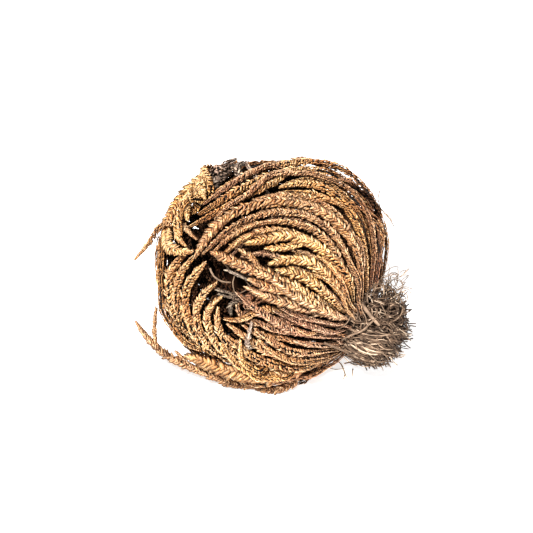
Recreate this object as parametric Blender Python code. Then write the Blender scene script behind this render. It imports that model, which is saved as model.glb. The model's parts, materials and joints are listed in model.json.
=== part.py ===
"""Rose of jericho, dry and curled up: leafy fronds folded over each other into a ball, beside its
crown with a brush of roots. The ball lies on the floor, with the crown at its lower right.

The plant is described on its face, the side it shows to someone who stands before it and looks
down at it by FACE_TILT. On the face, across runs to the right, up runs up, and out comes towards
that person, all from the middle of the ball and in millimetres. +Z is up, and the person looks
along +Y.
"""
import math

import bmesh
import bpy
import numpy as np

MM = 0.001

# The ball, measured to the middle of its outer layer of fronds
HALF_WIDE = 38.5
HALF_HIGH = 36.3
HALF_DEEP = 33.0
FACE_TILT = math.radians(35.0)
RISE = np.array([0.0, math.cos(FACE_TILT), math.sin(FACE_TILT)])   # straight up, on the face
FLOOR = 34.6            # the floor lies this far below the middle of the ball
MIDDLE = (-1.07, -1.55)   # where the middle of the ball stands, with the whole plant centred

# The crown, where every frond and root starts
CROWN = np.array([29.5, -19.5, 8.0])
CROWN_RADIUS = 7.5

# The youngest fronds, packed in the middle of the ball
HEART = np.array([-1.0, 1.0, -2.0])
HEART_HALF = np.array([22.0, 21.0, 19.0])
HEART_CORDS = 16
HEART_CORD_THICK = 2.2
HEART_LEAF_STEP = 8.0
HEART_SUNK = 2.4
HEART_FIRST = math.radians(16.0)
HEART_LAST = math.radians(166.0)
NECK_THICK = 3.0
NECK_SUNK = 8.0
NECK_STEP = 3.0

# Leafy stems: every thickness is a radius. A stem is slim where it leaves the crown, and it
# narrows to its tip over TIP_LONG. Two stems keep GAP clear of each other.
CORD_STEP = 1.6
CURVE_STEPS = 12
GAP = 0.35
BASE_THICK = 0.95
STOUT = 1.18
BRANCH_SHARE = 0.88
BRANCH_SLIM = 10.0
TIP_LONG = 14.0
TIP_SHARE = 0.42

# Leaves stand in whorls LEAF_STEP apart, and the rest is in shares of that step or of the radius:
# how far the side leaves sweep forward and the ridge leaves lie back, and the notch after them
LEAF_STEP = 6.0
FIRST_WHORL = 0.25
LEAF_SWEEP = 0.34
LEAF_BACK = 0.15
NOTCH_AFTER = 0.16
NOTCH_SHARE = 0.62
FLAT_SHARE = 0.35
TIP_ROOM = 0.35

# Fronds on the side away from the face, spread evenly round the crown
BACK = -1
BACK_FRONDS = 9
BACK_FIRST = math.radians(4.0)
BACK_LAST = math.radians(192.0)
BACK_SPREAD = math.radians(9.0)
BACK_START = math.radians(24.0)
BACK_REACH = math.radians(174.0)
BACK_SHORTER = math.radians(15.0)
BACK_FORK = 0.14
BACK_POINTS = 9
BACK_SLIM = 24.0
BACK_THICK = 1.95
BACK_LEAF_STEP = 7.0

# Roots: a brush that points down and away from the ball
ROOTS = 64
ROOT_SEED = 11
ROOT_TRIES = 6
ROOT_AIM = np.array([0.90, -0.42, 0.02])
ROOT_FAN = math.radians(88.0)
ROOT_LONG = (5.4, 8.2)
ROOT_THICK = 0.62
ROOT_SUNK = 1.6
ROOT_RINGS = 4
ROOT_TAPER = 0.16
ROOT_BEND = 0.35
ROOT_SAMPLES = 4
ROOT_OFF_FLOOR = 1.0

# A stem may come this near to the floor, in shares of its radius. What then lies below the floor
# is cut off, so that the stems that carry the plant are pressed flat.
PRESSED = 0.55

# How the stems are pushed clear of each other, round by round
ROUNDS = 216
REFRESH = 12
REACH = 7.0
FORK_SAMPLES = 5
TWIN_FORKS = 4
SHARED_PUSH = 0.6
PUSH = 1.1
STRAIGHTEN = 0.3
HOME_PULL = 0.004
PAIR_BLOCK = 400
TINY = 1e-6

FRONDS = {}


def frond(name, route, thick=1.6, slim=24.0, branches=()):
    """Keep a frond: its main stem's route over the ball, and those of its branches.

    A route's points are (across, up, lift) on the face, with BACK after them on the far side.
    The stem is slim over its first slim millimetres.
    """
    FRONDS[name] = {"route": route, "thick": thick, "slim": slim, "branches": branches}


# Fronds over the crest, from the outside in
frond("crest_outer", [(36.5, -9, -2), (39.3, 2, 0), (38.8, 13, 0), (35, 23.5, 0), (28.5, 31, 0),
                      (20.5, 35, 0), (12.5, 36.6, 0), (3.5, 35, 0), (-5, 32.3, 0), (-12, 29.3, -1),
                      (-18, 25.5, -3)], 1.5, 60)
frond("crest_second", [(35, -7, -1), (36.5, 6, 0), (34.3, 17, 0), (28.5, 26.5, 0), (20.5, 32, 0),
                       (11.5, 33.4, 0), (1.5, 31.4, 0), (-8, 27.6, 0), (-16, 22.8, -1),
                       (-23.5, 18, -3)], 1.6, 60,
      [[(6, 29.8, -1), (-2, 27.4, -1), (-10, 23, -1), (-18, 18.3, -1.5), (-26.5, 14, -3)]])
frond("crest_third", [(33, -6, -3), (34, 6, -3), (31.5, 16.5, -3), (26.5, 24.3, -2.5), (18, 30, -2),
                      (10, 30.2, -2), (3, 28.4, -2)], 1.5, 55)
frond("crest_fourth", [(32, -6, 0), (32, 6, 0), (29, 16.5, 0), (23.5, 24, 0), (16, 28.3, 0),
                       (9, 28.6, 0), (4, 27, -1)], 1.6, 45,
      [[(21.5, 22.5, -1), (16, 25.6, -1), (10, 26, -1), (5, 24.8, -2)]])
frond("arch_outer", [(30.5, -5, -2.5), (30.5, 4, -2), (28, 12, -2), (23, 18.7, -1.5), (16.5, 22.4, -1),
                     (9, 24.4, -1), (2, 24.6, -1), (-5, 22.8, -2)], 1.5, 40)
frond("golden_arch", [(29.5, -5, 0), (29, 4, 0), (25.5, 12.5, 0), (20, 18, 0), (13, 21.3, 0),
                      (4.5, 22.4, 0), (-4, 20.8, 0), (-12, 17.6, 0), (-18.5, 13, 0), (-22.5, 8, 0),
                      (-25, 4.2, -1)], 1.7, 35)
frond("arch_low", [(27.5, -4, -2), (25.5, 4, -1.5), (21, 11.3, -1), (15, 16.3, 0), (8.5, 19.3, 0),
                   (1, 19.4, 0), (-6.5, 17.6, -0.5), (-13.5, 14.5, -1), (-19, 10, -1.5),
                   (-22, 5.5, -3)], 1.4, 30)
frond("arch_inner", [(26, -3, -2.5), (23.5, 4.5, -2), (19, 10, -1.5), (13, 14, -1), (6.5, 16.2, -0.5),
                     (0.5, 16.3, -0.5), (-3, 15.8, -1)], 1.4, 28,
      [[(-6, 15, 0), (-12, 12.6, 0), (-16.3, 8.6, -1), (-18.5, 5.6, -3)]])
frond("curl", [(24.5, -2, -4), (22, 5, -3), (17, 9.7, -2), (10.5, 13.2, -1), (4, 13.8, 0),
               (-2.5, 13.3, 0.5), (-8.5, 12.4, 0.5), (-12.8, 9, 0), (-15, 4.8, -2)], 1.3, 24)
frond("flat_gold", [(23, -3, -1), (20, 4, 0), (14, 9.3, 0), (8, 11, 0.5), (1.5, 11.2, 1),
                    (-4.5, 9.6, 1), (-7.6, 8.4, 0.5)], 1.9, 20,
      [[(9, 8.6, 0.5), (3.5, 8.2, 0.7), (-1, 7.3, 0.5)]])
frond("sliver", [(22, -4, -3), (18.5, 1.5, -2), (14, 5, -1), (9, 6.6, -1), (6, 6.3, -2)], 1.1, 20)

# Fronds straight out of the crown towards the mouth of the ball
frond("pale_one", [(22, -7, -1), (18.5, -2.5, 0), (14.5, 1.5, 0), (9.5, 3.8, 0), (4.5, 3, 0),
                   (0.5, 1, -0.5)], 2.1, 18)
frond("pale_two", [(21, -9.5, -1), (16, -5.8, 0), (11.5, -1.8, 0), (7, 0.3, 0), (2.5, -0.5, -0.5)],
      2.1, 16)
frond("pale_three", [(20, -12, -1), (14.5, -8.7, 0), (9.5, -5, 0), (5.5, -2.8, 0), (3, -2.5, -1)],
      1.9, 14)
frond("mouth_long", [(21, -14.5, 0), (14, -12.3, 0.5), (8, -9, 1.5), (2.5, -5.3, 2), (-3.5, -1.7, 2),
                     (-9.5, 1.2, 2), (-14.5, 3.5, 2), (-18.8, 5, 1.5)], 2.1, 16,
      [[(3, -7.8, 1), (-2, -5.5, 1), (-6.5, -3.5, 0.5)],
       [(-4.5, 2.5, 1.5), (-6.5, 4.8, 1.5), (-10, 5.8, 1)]])
frond("mouth_low", [(22, -16, -1), (15, -14.8, -0.5), (8.5, -12, 0), (3, -9.8, 0), (-2.5, -8.6, 0),
                    (-7.5, -6.5, -1)], 1.7, 16)
frond("low_one", [(24, -18, -1), (17, -17, -1), (11, -15.5, -1.5), (6, -13.2, -3), (2.5, -12, -6)],
      1.4, 14)
frond("low_two", [(24, -20, 0), (17, -19.7, 0), (10.5, -18.8, -0.5), (5.5, -16.8, -2),
                  (1.5, -14.3, -4)], 1.4, 14)
frond("low_three", [(24, -22.5, 0), (17, -22.6, 0), (10, -22, 0), (4, -19, 0), (-1.5, -16.2, 0),
                    (-6, -13.6, 0), (-9, -11, -1), (-10.5, -8.5, -3)], 1.5, 16)
frond("low_four", [(24, -25.5, -1), (18, -26.2, 0), (12.5, -25.3, 0), (9, -23.2, 0.5)], 1.5, 14)

# Fronds that run along the bottom and turn up round the mouth, from the inside out
frond("lap_one", [(24, -27, -3), (17, -29, -1), (9.5, -30, 0), (3.5, -27.8, 0), (-0.5, -24, 0),
                  (-4.5, -20.5, -0.5)], 1.5, 18)
frond("lap_two", [(22, -28.5, -4), (14, -31.5, -1), (5, -31, 0), (-2.5, -27.8, 0), (-8, -24, 0),
                  (-11.5, -20.5, -0.5), (-14, -18.8, -2)], 1.5, 18)
frond("lap_three", [(20, -29.5, -4), (11, -33.2, -1), (2, -33.3, 0), (-5, -31, 0.5), (-9.5, -28, 1),
                    (-13.5, -24.8, 1), (-16, -22.8, 0)], 1.7, 20,
      [[(-9.3, -27, 1), (-10, -24, 1)]])
frond("side_one", [(18, -30.5, -4), (9, -34.3, -1), (0, -34.2, 0), (-8, -31.5, 0), (-14.5, -27.3, 0),
                   (-18.3, -22, 0), (-19.7, -17, 0), (-18, -13.2, -1.5)], 1.6)
frond("side_two", [(16, -32, -4), (8, -35, 0), (-2, -35.2, 0), (-11, -32.8, 0), (-18, -27.3, 0),
                   (-22, -21, 0), (-23, -15, 0), (-20.5, -11, 0), (-16.5, -9.8, -3)], 1.6)
frond("side_three", [(12, -34.5, 0, BACK), (-4, -36, 0), (-14, -32.2, 0), (-21.3, -26, 0),
                     (-25.7, -18, 0), (-26, -11.5, 0), (-22.5, -7.3, 0), (-18, -5, -4)], 1.6)
frond("side_four", [(9, -35, 0, BACK), (-7, -35.5, 0, BACK), (-18, -30.8, 0), (-25.5, -23, 0),
                    (-29.2, -13.5, 0), (-29.2, -6, 0), (-26, -1.3, 0), (-21.5, 1.7, -1)], 1.7)
frond("side_five", [(8, -33, 0, BACK), (-8, -34, 0, BACK), (-19, -30.5, 0, BACK), (-28.5, -21, 0),
                    (-32.3, -10, 0), (-31.8, -2, 0), (-28.5, 2, -1), (-25.5, 3.8, -2)], 1.6)
frond("rim_one", [(7, -31, 0, BACK), (-9, -32, 0, BACK), (-21.5, -27.5, 0, BACK), (-30.5, -19, 0),
                  (-34.5, -9, 0), (-35.2, -2, 0.5), (-33.2, 3, 0.5), (-29.5, 5.5, -1)], 1.7)
frond("rim_two", [(6, -28, 0, BACK), (-10, -29, 0, BACK), (-24, -23, 0, BACK), (-33.5, -15, 0),
                  (-37.3, -5, 0), (-38.5, 3, 0), (-37.8, 10, -2)], 1.6)

# Fronds that come over from the far side, and the strays that stand off the ball
frond("hook", [(20, 0, 0, BACK), (5, 18, 0, BACK), (-9, 29, 0, BACK), (-21, 32.3, 0),
               (-29.3, 26.3, 0), (-33.7, 19, 0), (-35.9, 11.5, 1), (-34.5, 6, 1.5),
               (-30.5, 4.0, 1.5), (-26, 5.4, 1)], 1.7, 24,
      [[(-28.3, 22, 1), (-28, 18.5, 1), (-27.7, 16.3, 0.5)],
       [(-23.4, 29.5, 2), (-23.2, 26.5, 2.5), (-21.9, 23.3, 2)]])
frond("grey_tip", [(18, -6, 0, BACK), (0, 10, 0, BACK), (-16, 20, 0, BACK), (-23.5, 24, -6),
                   (-19.5, 29, -2), (-15, 33, 0), (-11, 35.3, 0)], 1.6)
frond("left_stray", [(14, -10, 0, BACK), (-6, 0, 0, BACK), (-24, 10, 0, BACK), (-34.5, 13.5, 0),
                     (-39, 9.5, 0), (-42.3, 6.7, 0), (-45.3, 3.7, 0)], 1.2)
frond("low_stray", [(20, -29, 0, BACK), (10, -35, 0), (3, -36.6, 0), (-7, -37.2, 0), (-17, -36, 0),
                    (-27, -33.8, 0), (-35, -30.8, 0), (-40.8, -26.5, 0), (-43.8, -22.5, 0),
                    (-45.2, -18.8, 0)], 1.4, 24,
      [[(-40.3, -23, 0), (-40, -19, 0), (-38.8, -14.2, 0)],
       [(-31, -31, 0.5), (-31.7, -28.6, 0.5)]])
frond("feather", [(21, -29.5, -6), (10, -34.5, 0), (-1, -35, 1.5), (-10, -33.6, 2.5),
                  (-18, -31.8, 2.5), (-24, -30.3, 2.5), (-28, -30, 2.5)], 1.7)


def on_ball(across, up, lift=0.0, side=1):
    """The point of the ball's surface at a place on the face, lifted off it by lift."""
    inside = 1.0 - (across / HALF_WIDE) ** 2 - (up / HALF_HIGH) ** 2
    dome = HALF_DEEP * math.sqrt(max(inside, 0.0))
    return np.array([across, up, side * (dome + lift)])


def to_world(points):
    """Face coordinates in millimetres to world coordinates in millimetres."""
    across, up, out = np.asarray(points, float).T
    sin, cos = math.sin(FACE_TILT), math.cos(FACE_TILT)
    return np.stack([across + MIDDLE[0],
                     up * sin - out * cos + MIDDLE[1],
                     up * cos + out * sin + FLOOR], axis=1)


def smooth_route(points):
    """A smooth line through the points, with a sample about every CORD_STEP."""
    points = np.asarray(points, float)
    ends = 2 * points[0] - points[1], 2 * points[-1] - points[-2]
    points = np.vstack([ends[0], points, ends[1]])
    fine = []
    for i in range(1, len(points) - 2):
        a, b, c, d = points[i - 1:i + 3]
        knots = [0.0]
        for p, q in ((a, b), (b, c), (c, d)):
            knots.append(knots[-1] + math.sqrt(max(np.linalg.norm(q - p), TINY)))
        k0, k1, k2, k3 = knots
        for t in np.linspace(k1, k2, CURVE_STEPS, endpoint=False):
            ab = ((k1 - t) * a + (t - k0) * b) / (k1 - k0)
            bc = ((k2 - t) * b + (t - k1) * c) / (k2 - k1)
            cd = ((k3 - t) * c + (t - k2) * d) / (k3 - k2)
            abc = ((k2 - t) * ab + (t - k0) * bc) / (k2 - k0)
            bcd = ((k3 - t) * bc + (t - k1) * cd) / (k3 - k1)
            fine.append(((k2 - t) * abc + (t - k1) * bcd) / (k2 - k1))
    fine.append(points[-2])
    return resample(np.array(fine), CORD_STEP)


def resample(line, step):
    """The same line with its points spread evenly, about step apart."""
    along = arc_length(line)
    count = max(4, int(round(along[-1] / step)) + 1)
    even = np.linspace(0.0, along[-1], count)
    return np.stack([np.interp(even, along, line[:, k]) for k in range(3)], axis=1)


def arc_length(line):
    """Distance along a line to each of its points."""
    return np.concatenate([[0.0], np.cumsum(np.linalg.norm(np.diff(line, axis=0), axis=1))])


def unit(vectors):
    return vectors / np.linalg.norm(vectors, axis=-1, keepdims=True)


class Cord:
    """A leafy stem: the frond it belongs to, its middle line, its radius along it, and its fork."""

    def __init__(self, name, line, thick, slim, parent=None, fork=0, leaf_step=LEAF_STEP):
        self.name = name
        self.line = line
        self.parent = parent
        self.fork = fork
        self.leaf_step = leaf_step
        along = arc_length(line)
        swell = np.clip(along / slim, 0.0, 1.0)
        body = BASE_THICK + (thick - BASE_THICK) * swell * swell * (3 - 2 * swell)
        tip = np.clip((along[-1] - along) / TIP_LONG, 0.0, 1.0)
        self.radius = body * (TIP_SHARE + (1 - TIP_SHARE) * np.sqrt(tip))


def from_crown(route):
    """A route with its start added, on the crown, facing the route's first point."""
    lead = unit(route[0] - CROWN)
    return [CROWN + lead * (CROWN_RADIUS + GAP)] + list(route)


def add_branch(cords, parent, route, thick, leaf_step=LEAF_STEP):
    """Fork a branch off a main stem a little before the branch's first point."""
    main = cords[parent]
    nearest = int(np.linalg.norm(main.line - route[0], axis=1).argmin())
    fork = max(1, nearest - 3)
    line = smooth_route([main.line[fork]] + list(route))
    cords.append(Cord(main.name, line, thick, BRANCH_SLIM, parent, fork, leaf_step))


def face_cords(cords):
    """Stems of the fronds whose routes are given above."""
    for name, shape in FRONDS.items():
        route = [on_ball(*point) for point in shape["route"]]
        line = smooth_route(from_crown(route))
        cords.append(Cord(name, line, STOUT * shape["thick"], shape["slim"]))
        parent = len(cords) - 1
        for branch in shape["branches"]:
            places = [on_ball(*point) for point in branch]
            add_branch(cords, parent, places, STOUT * BRANCH_SHARE * shape["thick"])


def back_route(turn, start, end, spread):
    """A great circle over the far side from the crown, at an angle turn round it."""
    pole = unit(CROWN)
    crest = unit(np.array([0.0, 1.0, 0.0]) - pole * pole[1])
    far = np.cross(crest, pole)
    route = []
    for t in np.linspace(start, 1.0, BACK_POINTS):
        reach = BACK_START + (end - BACK_START) * t
        swing = turn + spread * min(1.0, 3.0 * t)
        way = pole * math.cos(reach)
        way = way + (crest * math.cos(swing) + far * math.sin(swing)) * math.sin(reach)
        scale = math.sqrt((way[0] / HALF_WIDE) ** 2 + (way[1] / HALF_HIGH) ** 2
                          + (way[2] / HALF_DEEP) ** 2)
        route.append(way / scale)
    return route


def back_cords(cords):
    """Fronds on the far side, each a main stem between two branches."""
    for i in range(BACK_FRONDS):
        turn = BACK_FIRST + (BACK_LAST - BACK_FIRST) * (i + 0.5) / BACK_FRONDS
        route = from_crown(back_route(turn, 0.0, BACK_REACH, 0.0))
        name = f"back_{i + 1}"
        cords.append(Cord(name, smooth_route(route), BACK_THICK, BACK_SLIM, leaf_step=BACK_LEAF_STEP))
        parent = len(cords) - 1
        for side in (-1, 1):
            branch = back_route(turn, BACK_FORK, BACK_REACH - BACK_SHORTER, side * BACK_SPREAD)
            add_branch(cords, parent, branch, BRANCH_SHARE * BACK_THICK, BACK_LEAF_STEP)


def close_pairs(points, reach):
    """Index pairs of points that lie nearer than reach."""
    firsts, seconds = [], []
    for low in range(0, len(points), PAIR_BLOCK):
        block = points[low:low + PAIR_BLOCK]
        apart = np.linalg.norm(block[:, None] - points[None], axis=2)
        first, second = np.nonzero(apart < reach)
        first = first + low
        keep = first < second
        firsts.append(first[keep])
        seconds.append(second[keep])
    return np.concatenate(firsts), np.concatenate(seconds)


class Bundle:
    """All stems in one array of samples, so that they can be pushed clear of each other."""

    def __init__(self, cords):
        self.cords = cords
        counts = [len(cord.line) for cord in cords]
        self.start = np.concatenate([[0], np.cumsum(counts)])
        self.points = np.vstack([cord.line for cord in cords])
        self.home = self.points.copy()
        self.radius = np.concatenate([cord.radius for cord in cords])
        self.owner = np.repeat(np.arange(len(cords)), counts)
        self.index = np.arange(len(self.points)) - self.start[self.owner]
        self.fork = np.array([cord.fork for cord in cords])
        self.parent = np.array([-1 if cord.parent is None else cord.parent for cord in cords])
        same = self.owner[1:] == self.owner[:-1]
        self.linked = same
        self.inner = np.concatenate([[False], same[1:] & same[:-1], [False]])

    def grown_together(self, a, b):
        """Whether two samples are a branch and its stem, or two branches, next to one fork.

        Such samples may touch, because the branch is fused to its stem there.
        """
        joined = np.zeros(len(a), bool)
        for child, stem in ((a, b), (b, a)):
            owner = self.owner[child]
            near = np.abs(self.index[stem] - self.fork[owner]) <= FORK_SAMPLES + 2
            near &= self.index[child] <= FORK_SAMPLES
            joined |= (self.parent[owner] == self.owner[stem]) & near
        first, second = self.owner[a], self.owner[b]
        twins = (self.parent[first] == self.parent[second]) & (self.parent[first] >= 0)
        twins &= np.abs(self.fork[first] - self.fork[second]) <= TWIN_FORKS
        twins &= np.maximum(self.index[a], self.index[b]) <= FORK_SAMPLES + 1
        return joined | twins

    def neighbours(self):
        a, b = close_pairs(self.points, REACH)
        keep = (self.owner[a] != self.owner[b]) & ~self.grown_together(a, b)
        return a[keep], b[keep]

    def push_apart(self, a, b):
        """Half of each overlap for either stem, evened out where one has several neighbours."""
        away = self.points[b] - self.points[a]
        apart = np.linalg.norm(away, axis=1)
        lack = self.radius[a] + self.radius[b] + GAP - apart
        hit = lack > 0
        step = away[hit] * (0.5 * lack[hit] / np.maximum(apart[hit], TINY))[:, None]
        push = np.zeros_like(self.points)
        times = np.zeros(len(self.points))
        np.add.at(push, a[hit], -step)
        np.add.at(push, b[hit], step)
        np.add.at(times, a[hit], 1)
        np.add.at(times, b[hit], 1)
        return push / np.maximum(times, 1)[:, None] ** SHARED_PUSH

    def keep_out_of_heart(self, push):
        reach = HEART_HALF + self.radius[:, None] + GAP
        depth = np.linalg.norm((self.points - HEART) / reach, axis=1)
        inside = depth < 1
        push[inside] += (self.points[inside] - HEART) * (0.5 / depth[inside] - 0.5)[:, None]

    def keep_out_of_neck(self, push):
        """The neck joins the crown to the heart, and stems pass round it."""
        axis = HEART - CROWN
        share = np.clip((self.points - CROWN) @ axis / (axis @ axis), 0.0, 1.0)
        away = self.points - (CROWN + share[:, None] * axis)
        apart = np.linalg.norm(away, axis=1)
        need = NECK_THICK + self.radius + GAP
        inside = apart < need
        share = 0.5 * (need - apart) / np.maximum(apart, TINY)
        push[inside] += away[inside] * share[inside, None]

    def keep_out_of_crown(self, push):
        away = self.points - CROWN
        apart = np.linalg.norm(away, axis=1)
        need = CROWN_RADIUS + GAP + self.radius
        inside = (apart < need) & (self.index > 1)
        push[inside] += away[inside] * (0.5 * need / apart - 0.5)[inside, None]

    def even_out(self, values, share):
        """Blend each sample's value with those of its two neighbours on the stem."""
        total = values.copy()
        weight = np.ones(len(values))
        total[1:][self.linked] += share * values[:-1][self.linked]
        total[:-1][self.linked] += share * values[1:][self.linked]
        weight[1:][self.linked] += share
        weight[:-1][self.linked] += share
        return total / weight[:, None]

    def keep_ends(self):
        """Main stems start square on the crown, and branches on the stem that they grow from."""
        for number, cord in enumerate(self.cords):
            first = self.start[number]
            if cord.parent is None:
                lead = unit(self.points[first] - CROWN)
                self.points[first] = CROWN + lead * (CROWN_RADIUS + GAP)
                self.points[first + 1] = CROWN + lead * (CROWN_RADIUS + GAP + CORD_STEP)
            else:
                self.points[first] = self.points[self.start[cord.parent] + cord.fork]

    def keep_off_floor(self):
        lack = PRESSED * self.radius - FLOOR - self.points @ RISE
        self.points += np.maximum(lack, 0.0)[:, None] * RISE

    def settle(self):
        for number in range(ROUNDS):
            if number % REFRESH == 0:
                a, b = self.neighbours()
            push = self.push_apart(a, b)
            self.keep_out_of_heart(push)
            self.keep_out_of_neck(push)
            self.keep_out_of_crown(push)
            push = self.even_out(self.even_out(push, 0.5), 0.5)
            self.points += PUSH * push
            straighter = self.even_out(self.points, 0.5)
            self.points[self.inner] += STRAIGHTEN * (straighter - self.points)[self.inner]
            self.points += HOME_PULL * (self.home - self.points)
            self.keep_off_floor()
            self.keep_ends()
        for number, cord in enumerate(self.cords):
            cord.line = self.points[self.start[number]:self.start[number + 1]]


def stem_frame(line, radius, places):
    """Points at distances along a stem, with the ways outward and sideways and its radius there.

    Outward is away from the middle of the ball, and sideways lies along the ball's surface.
    """
    along = arc_length(line)

    def at(distances):
        distances = np.clip(distances, 0.0, along[-1])
        return np.stack([np.interp(distances, along, line[:, k]) for k in range(3)], axis=1)

    point = at(places)
    forward = unit(at(places + 0.5) - at(places - 0.5))
    outward = unit(point - forward * np.sum(point * forward, axis=1)[:, None])
    return point, outward, np.cross(forward, outward), np.interp(places, along, radius)


def leafy_stem(line, radius, leaf_step):
    """Points and faces of a stem whose leaves stand out in whorls swept towards the tip.

    Each whorl is a wide ring of three corners, left, ridge and right, and a narrow one after it.
    The ridge is on the outside of the ball, and the flat between left and right on the inside.
    """
    length = arc_length(line)[-1]
    whorls = max(3, int(round(length / leaf_step)))
    pitch = length / whorls
    starts = (np.arange(whorls) + FIRST_WHORL) * pitch
    rings = np.stack([starts, starts + NOTCH_AFTER * pitch], axis=1).ravel()
    share = np.concatenate([[1.0], np.tile([1.0, NOTCH_SHARE], whorls)])[:, None]
    edge = np.minimum(rings + LEAF_SWEEP * pitch, length - TIP_ROOM * pitch)
    point, outward, side, thick = stem_frame(line, radius, np.concatenate([[0.0], edge]))
    flat = point - outward * (FLAT_SHARE * thick)[:, None]
    left = flat + side * thick[:, None] * share
    right = flat - side * thick[:, None] * share
    ridge = np.concatenate([[0.0], rings - LEAF_BACK * pitch])
    point, outward, _, thick = stem_frame(line, radius, ridge)
    top = point + outward * thick[:, None] * share
    rings = np.stack([left, top, right], axis=1)
    points = [tuple(corner) for ring in rings for corner in ring]
    points.append(tuple(line[-1]))
    return points, tube_faces(len(rings), 3, pointed=True)


def tube_faces(rings, sides, pointed):
    """Faces of a tube of rings of corners, closed at its start, with a last point or a flat end."""
    faces = [tuple(range(sides - 1, -1, -1))]
    for low in range(0, sides * (rings - 1), sides):
        for corner in range(sides):
            after = (corner + 1) % sides
            faces.append((low + corner, low + after, low + sides + after, low + sides + corner))
    last = sides * (rings - 1)
    if pointed:
        faces += [(last + corner, last + (corner + 1) % sides, last + sides) for corner in range(sides)]
    else:
        faces.append(tuple(range(last, last + sides)))
    return faces


def new_object(name, points, faces):
    """A mesh object from face coordinates in millimetres, its place in its mesh."""
    mesh = bpy.data.meshes.new(name)
    world = to_world(points) * MM
    mesh.from_pydata([tuple(point) for point in world], [], faces)
    obj = bpy.data.objects.new(name, mesh)
    bpy.context.scene.collection.objects.link(obj)
    tidy = bmesh.new()
    tidy.from_mesh(mesh)
    bmesh.ops.triangulate(tidy, faces=tidy.faces)
    bmesh.ops.recalc_face_normals(tidy, faces=tidy.faces)
    tidy.to_mesh(mesh)
    tidy.free()
    return obj


def union(obj, others, solver="EXACT"):
    """Fuse other objects into one and remove them."""
    if not others:
        return
    group = bpy.data.collections.new(obj.name + "_pieces")
    bpy.context.scene.collection.children.link(group)
    for other in others:
        bpy.context.scene.collection.objects.unlink(other)
        group.objects.link(other)
    fuse = obj.modifiers.new("Fuse", "BOOLEAN")
    fuse.operation = "UNION"
    fuse.solver = solver
    fuse.operand_type = "COLLECTION"
    fuse.collection = group
    apply_modifiers(obj)
    for other in others:
        bpy.data.objects.remove(other)
    bpy.data.collections.remove(group)


def apply_modifiers(obj):
    """Put the mesh that the modifiers give in place of the object's own."""
    shape = obj.evaluated_get(bpy.context.evaluated_depsgraph_get())
    mesh = bpy.data.meshes.new_from_object(shape)
    old = obj.data
    obj.modifiers.clear()
    obj.data = mesh
    bpy.data.meshes.remove(old)


def flatten_on_floor(obj):
    """Cut off what a pressed stem has below the floor, and close the cut with a flat face."""
    if min(vertex.co.z for vertex in obj.data.vertices) >= 0.0:
        return
    shape = bmesh.new()
    shape.from_mesh(obj.data)
    every = shape.verts[:] + shape.edges[:] + shape.faces[:]
    cut = bmesh.ops.bisect_plane(shape, geom=every, dist=1e-7, plane_co=(0, 0, 0),
                                 plane_no=(0, 0, -1), clear_outer=True)
    edges = [item for item in cut["geom_cut"] if isinstance(item, bmesh.types.BMEdge)]
    bmesh.ops.holes_fill(shape, edges=edges)
    bmesh.ops.triangulate(shape, faces=shape.faces)
    shape.to_mesh(obj.data)
    shape.free()


def paint(obj, colour, roughness=0.85):
    """Give an object a plain material of its own."""
    material = bpy.data.materials.new(obj.name)
    material.use_nodes = True
    shader = material.node_tree.nodes["Principled BSDF"]
    shader.inputs["Base Color"].default_value = (*colour, 1.0)
    shader.inputs["Roughness"].default_value = roughness
    shader.inputs["Metallic"].default_value = 0.0
    obj.data.materials.clear()
    obj.data.materials.append(material)


GOLD = (0.60, 0.38, 0.17)
BROWN = (0.36, 0.20, 0.09)
GREY = (0.30, 0.24, 0.19)
ROOT_BROWN = (0.22, 0.15, 0.10)


def frond_colour(name):
    """Outer and far fronds are browner than those round the mouth."""
    if name == "grey_tip":
        return GREY
    if name.startswith(("crest", "back", "low")):
        return BROWN
    return GOLD


def make_fronds(cords):
    """One object for each frond, its branches fused to its main stem."""
    for name in dict.fromkeys(cord.name for cord in cords):
        pieces = []
        for number, cord in enumerate(c for c in cords if c.name == name):
            shape = leafy_stem(cord.line, cord.radius, cord.leaf_step)
            pieces.append(new_object(name if number == 0 else f"{name}_branch_{number}", *shape))
        union(pieces[0], pieces[1:])
        flatten_on_floor(pieces[0])
        paint(pieces[0], frond_colour(name))


def ball_points(centre, half, detail):
    """Points and faces of an icosphere stretched to half sizes round a centre."""
    shape = bmesh.new()
    bmesh.ops.create_icosphere(shape, subdivisions=detail, radius=1.0)
    points = [tuple(centre + half * np.array(vertex.co)) for vertex in shape.verts]
    faces = [tuple(vertex.index for vertex in face.verts) for face in shape.faces]
    shape.free()
    return points, faces


def make_heart():
    """Young fronds packed round a slim core, on a neck that stands on the crown."""
    half = HEART_HALF - HEART_SUNK
    heart = new_object("heart", *ball_points(HEART, half, 3))
    axis = unit(HEART - CROWN)
    start = CROWN + axis * (CROWN_RADIUS + GAP)
    line = resample(np.array([start, HEART - axis * NECK_SUNK]), NECK_STEP)
    radius = np.full(len(line), NECK_THICK)
    pieces = [new_object("neck", *leafy_stem(line, radius, LEAF_STEP))]
    crest = unit(np.array([0.0, 1.0, 0.0]) - axis * axis[1])
    side = np.cross(axis, crest)
    for i in range(HEART_CORDS):
        turn = 2 * math.pi * i / HEART_CORDS
        across = crest * math.cos(turn) + side * math.sin(turn)
        line = []
        for reach in np.linspace(HEART_FIRST, HEART_LAST, 2 * CURVE_STEPS):
            way = across * math.sin(reach) - axis * math.cos(reach)
            line.append(HEART + way / np.linalg.norm(way / (HEART_HALF - HEART_CORD_THICK)))
        line = resample(np.array(line), CORD_STEP)
        radius = np.full(len(line), HEART_CORD_THICK)
        shape = leafy_stem(line, radius, HEART_LEAF_STEP)
        pieces.append(new_object(f"young_{i}", *shape))
    union(heart, pieces)
    paint(heart, BROWN)


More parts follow.
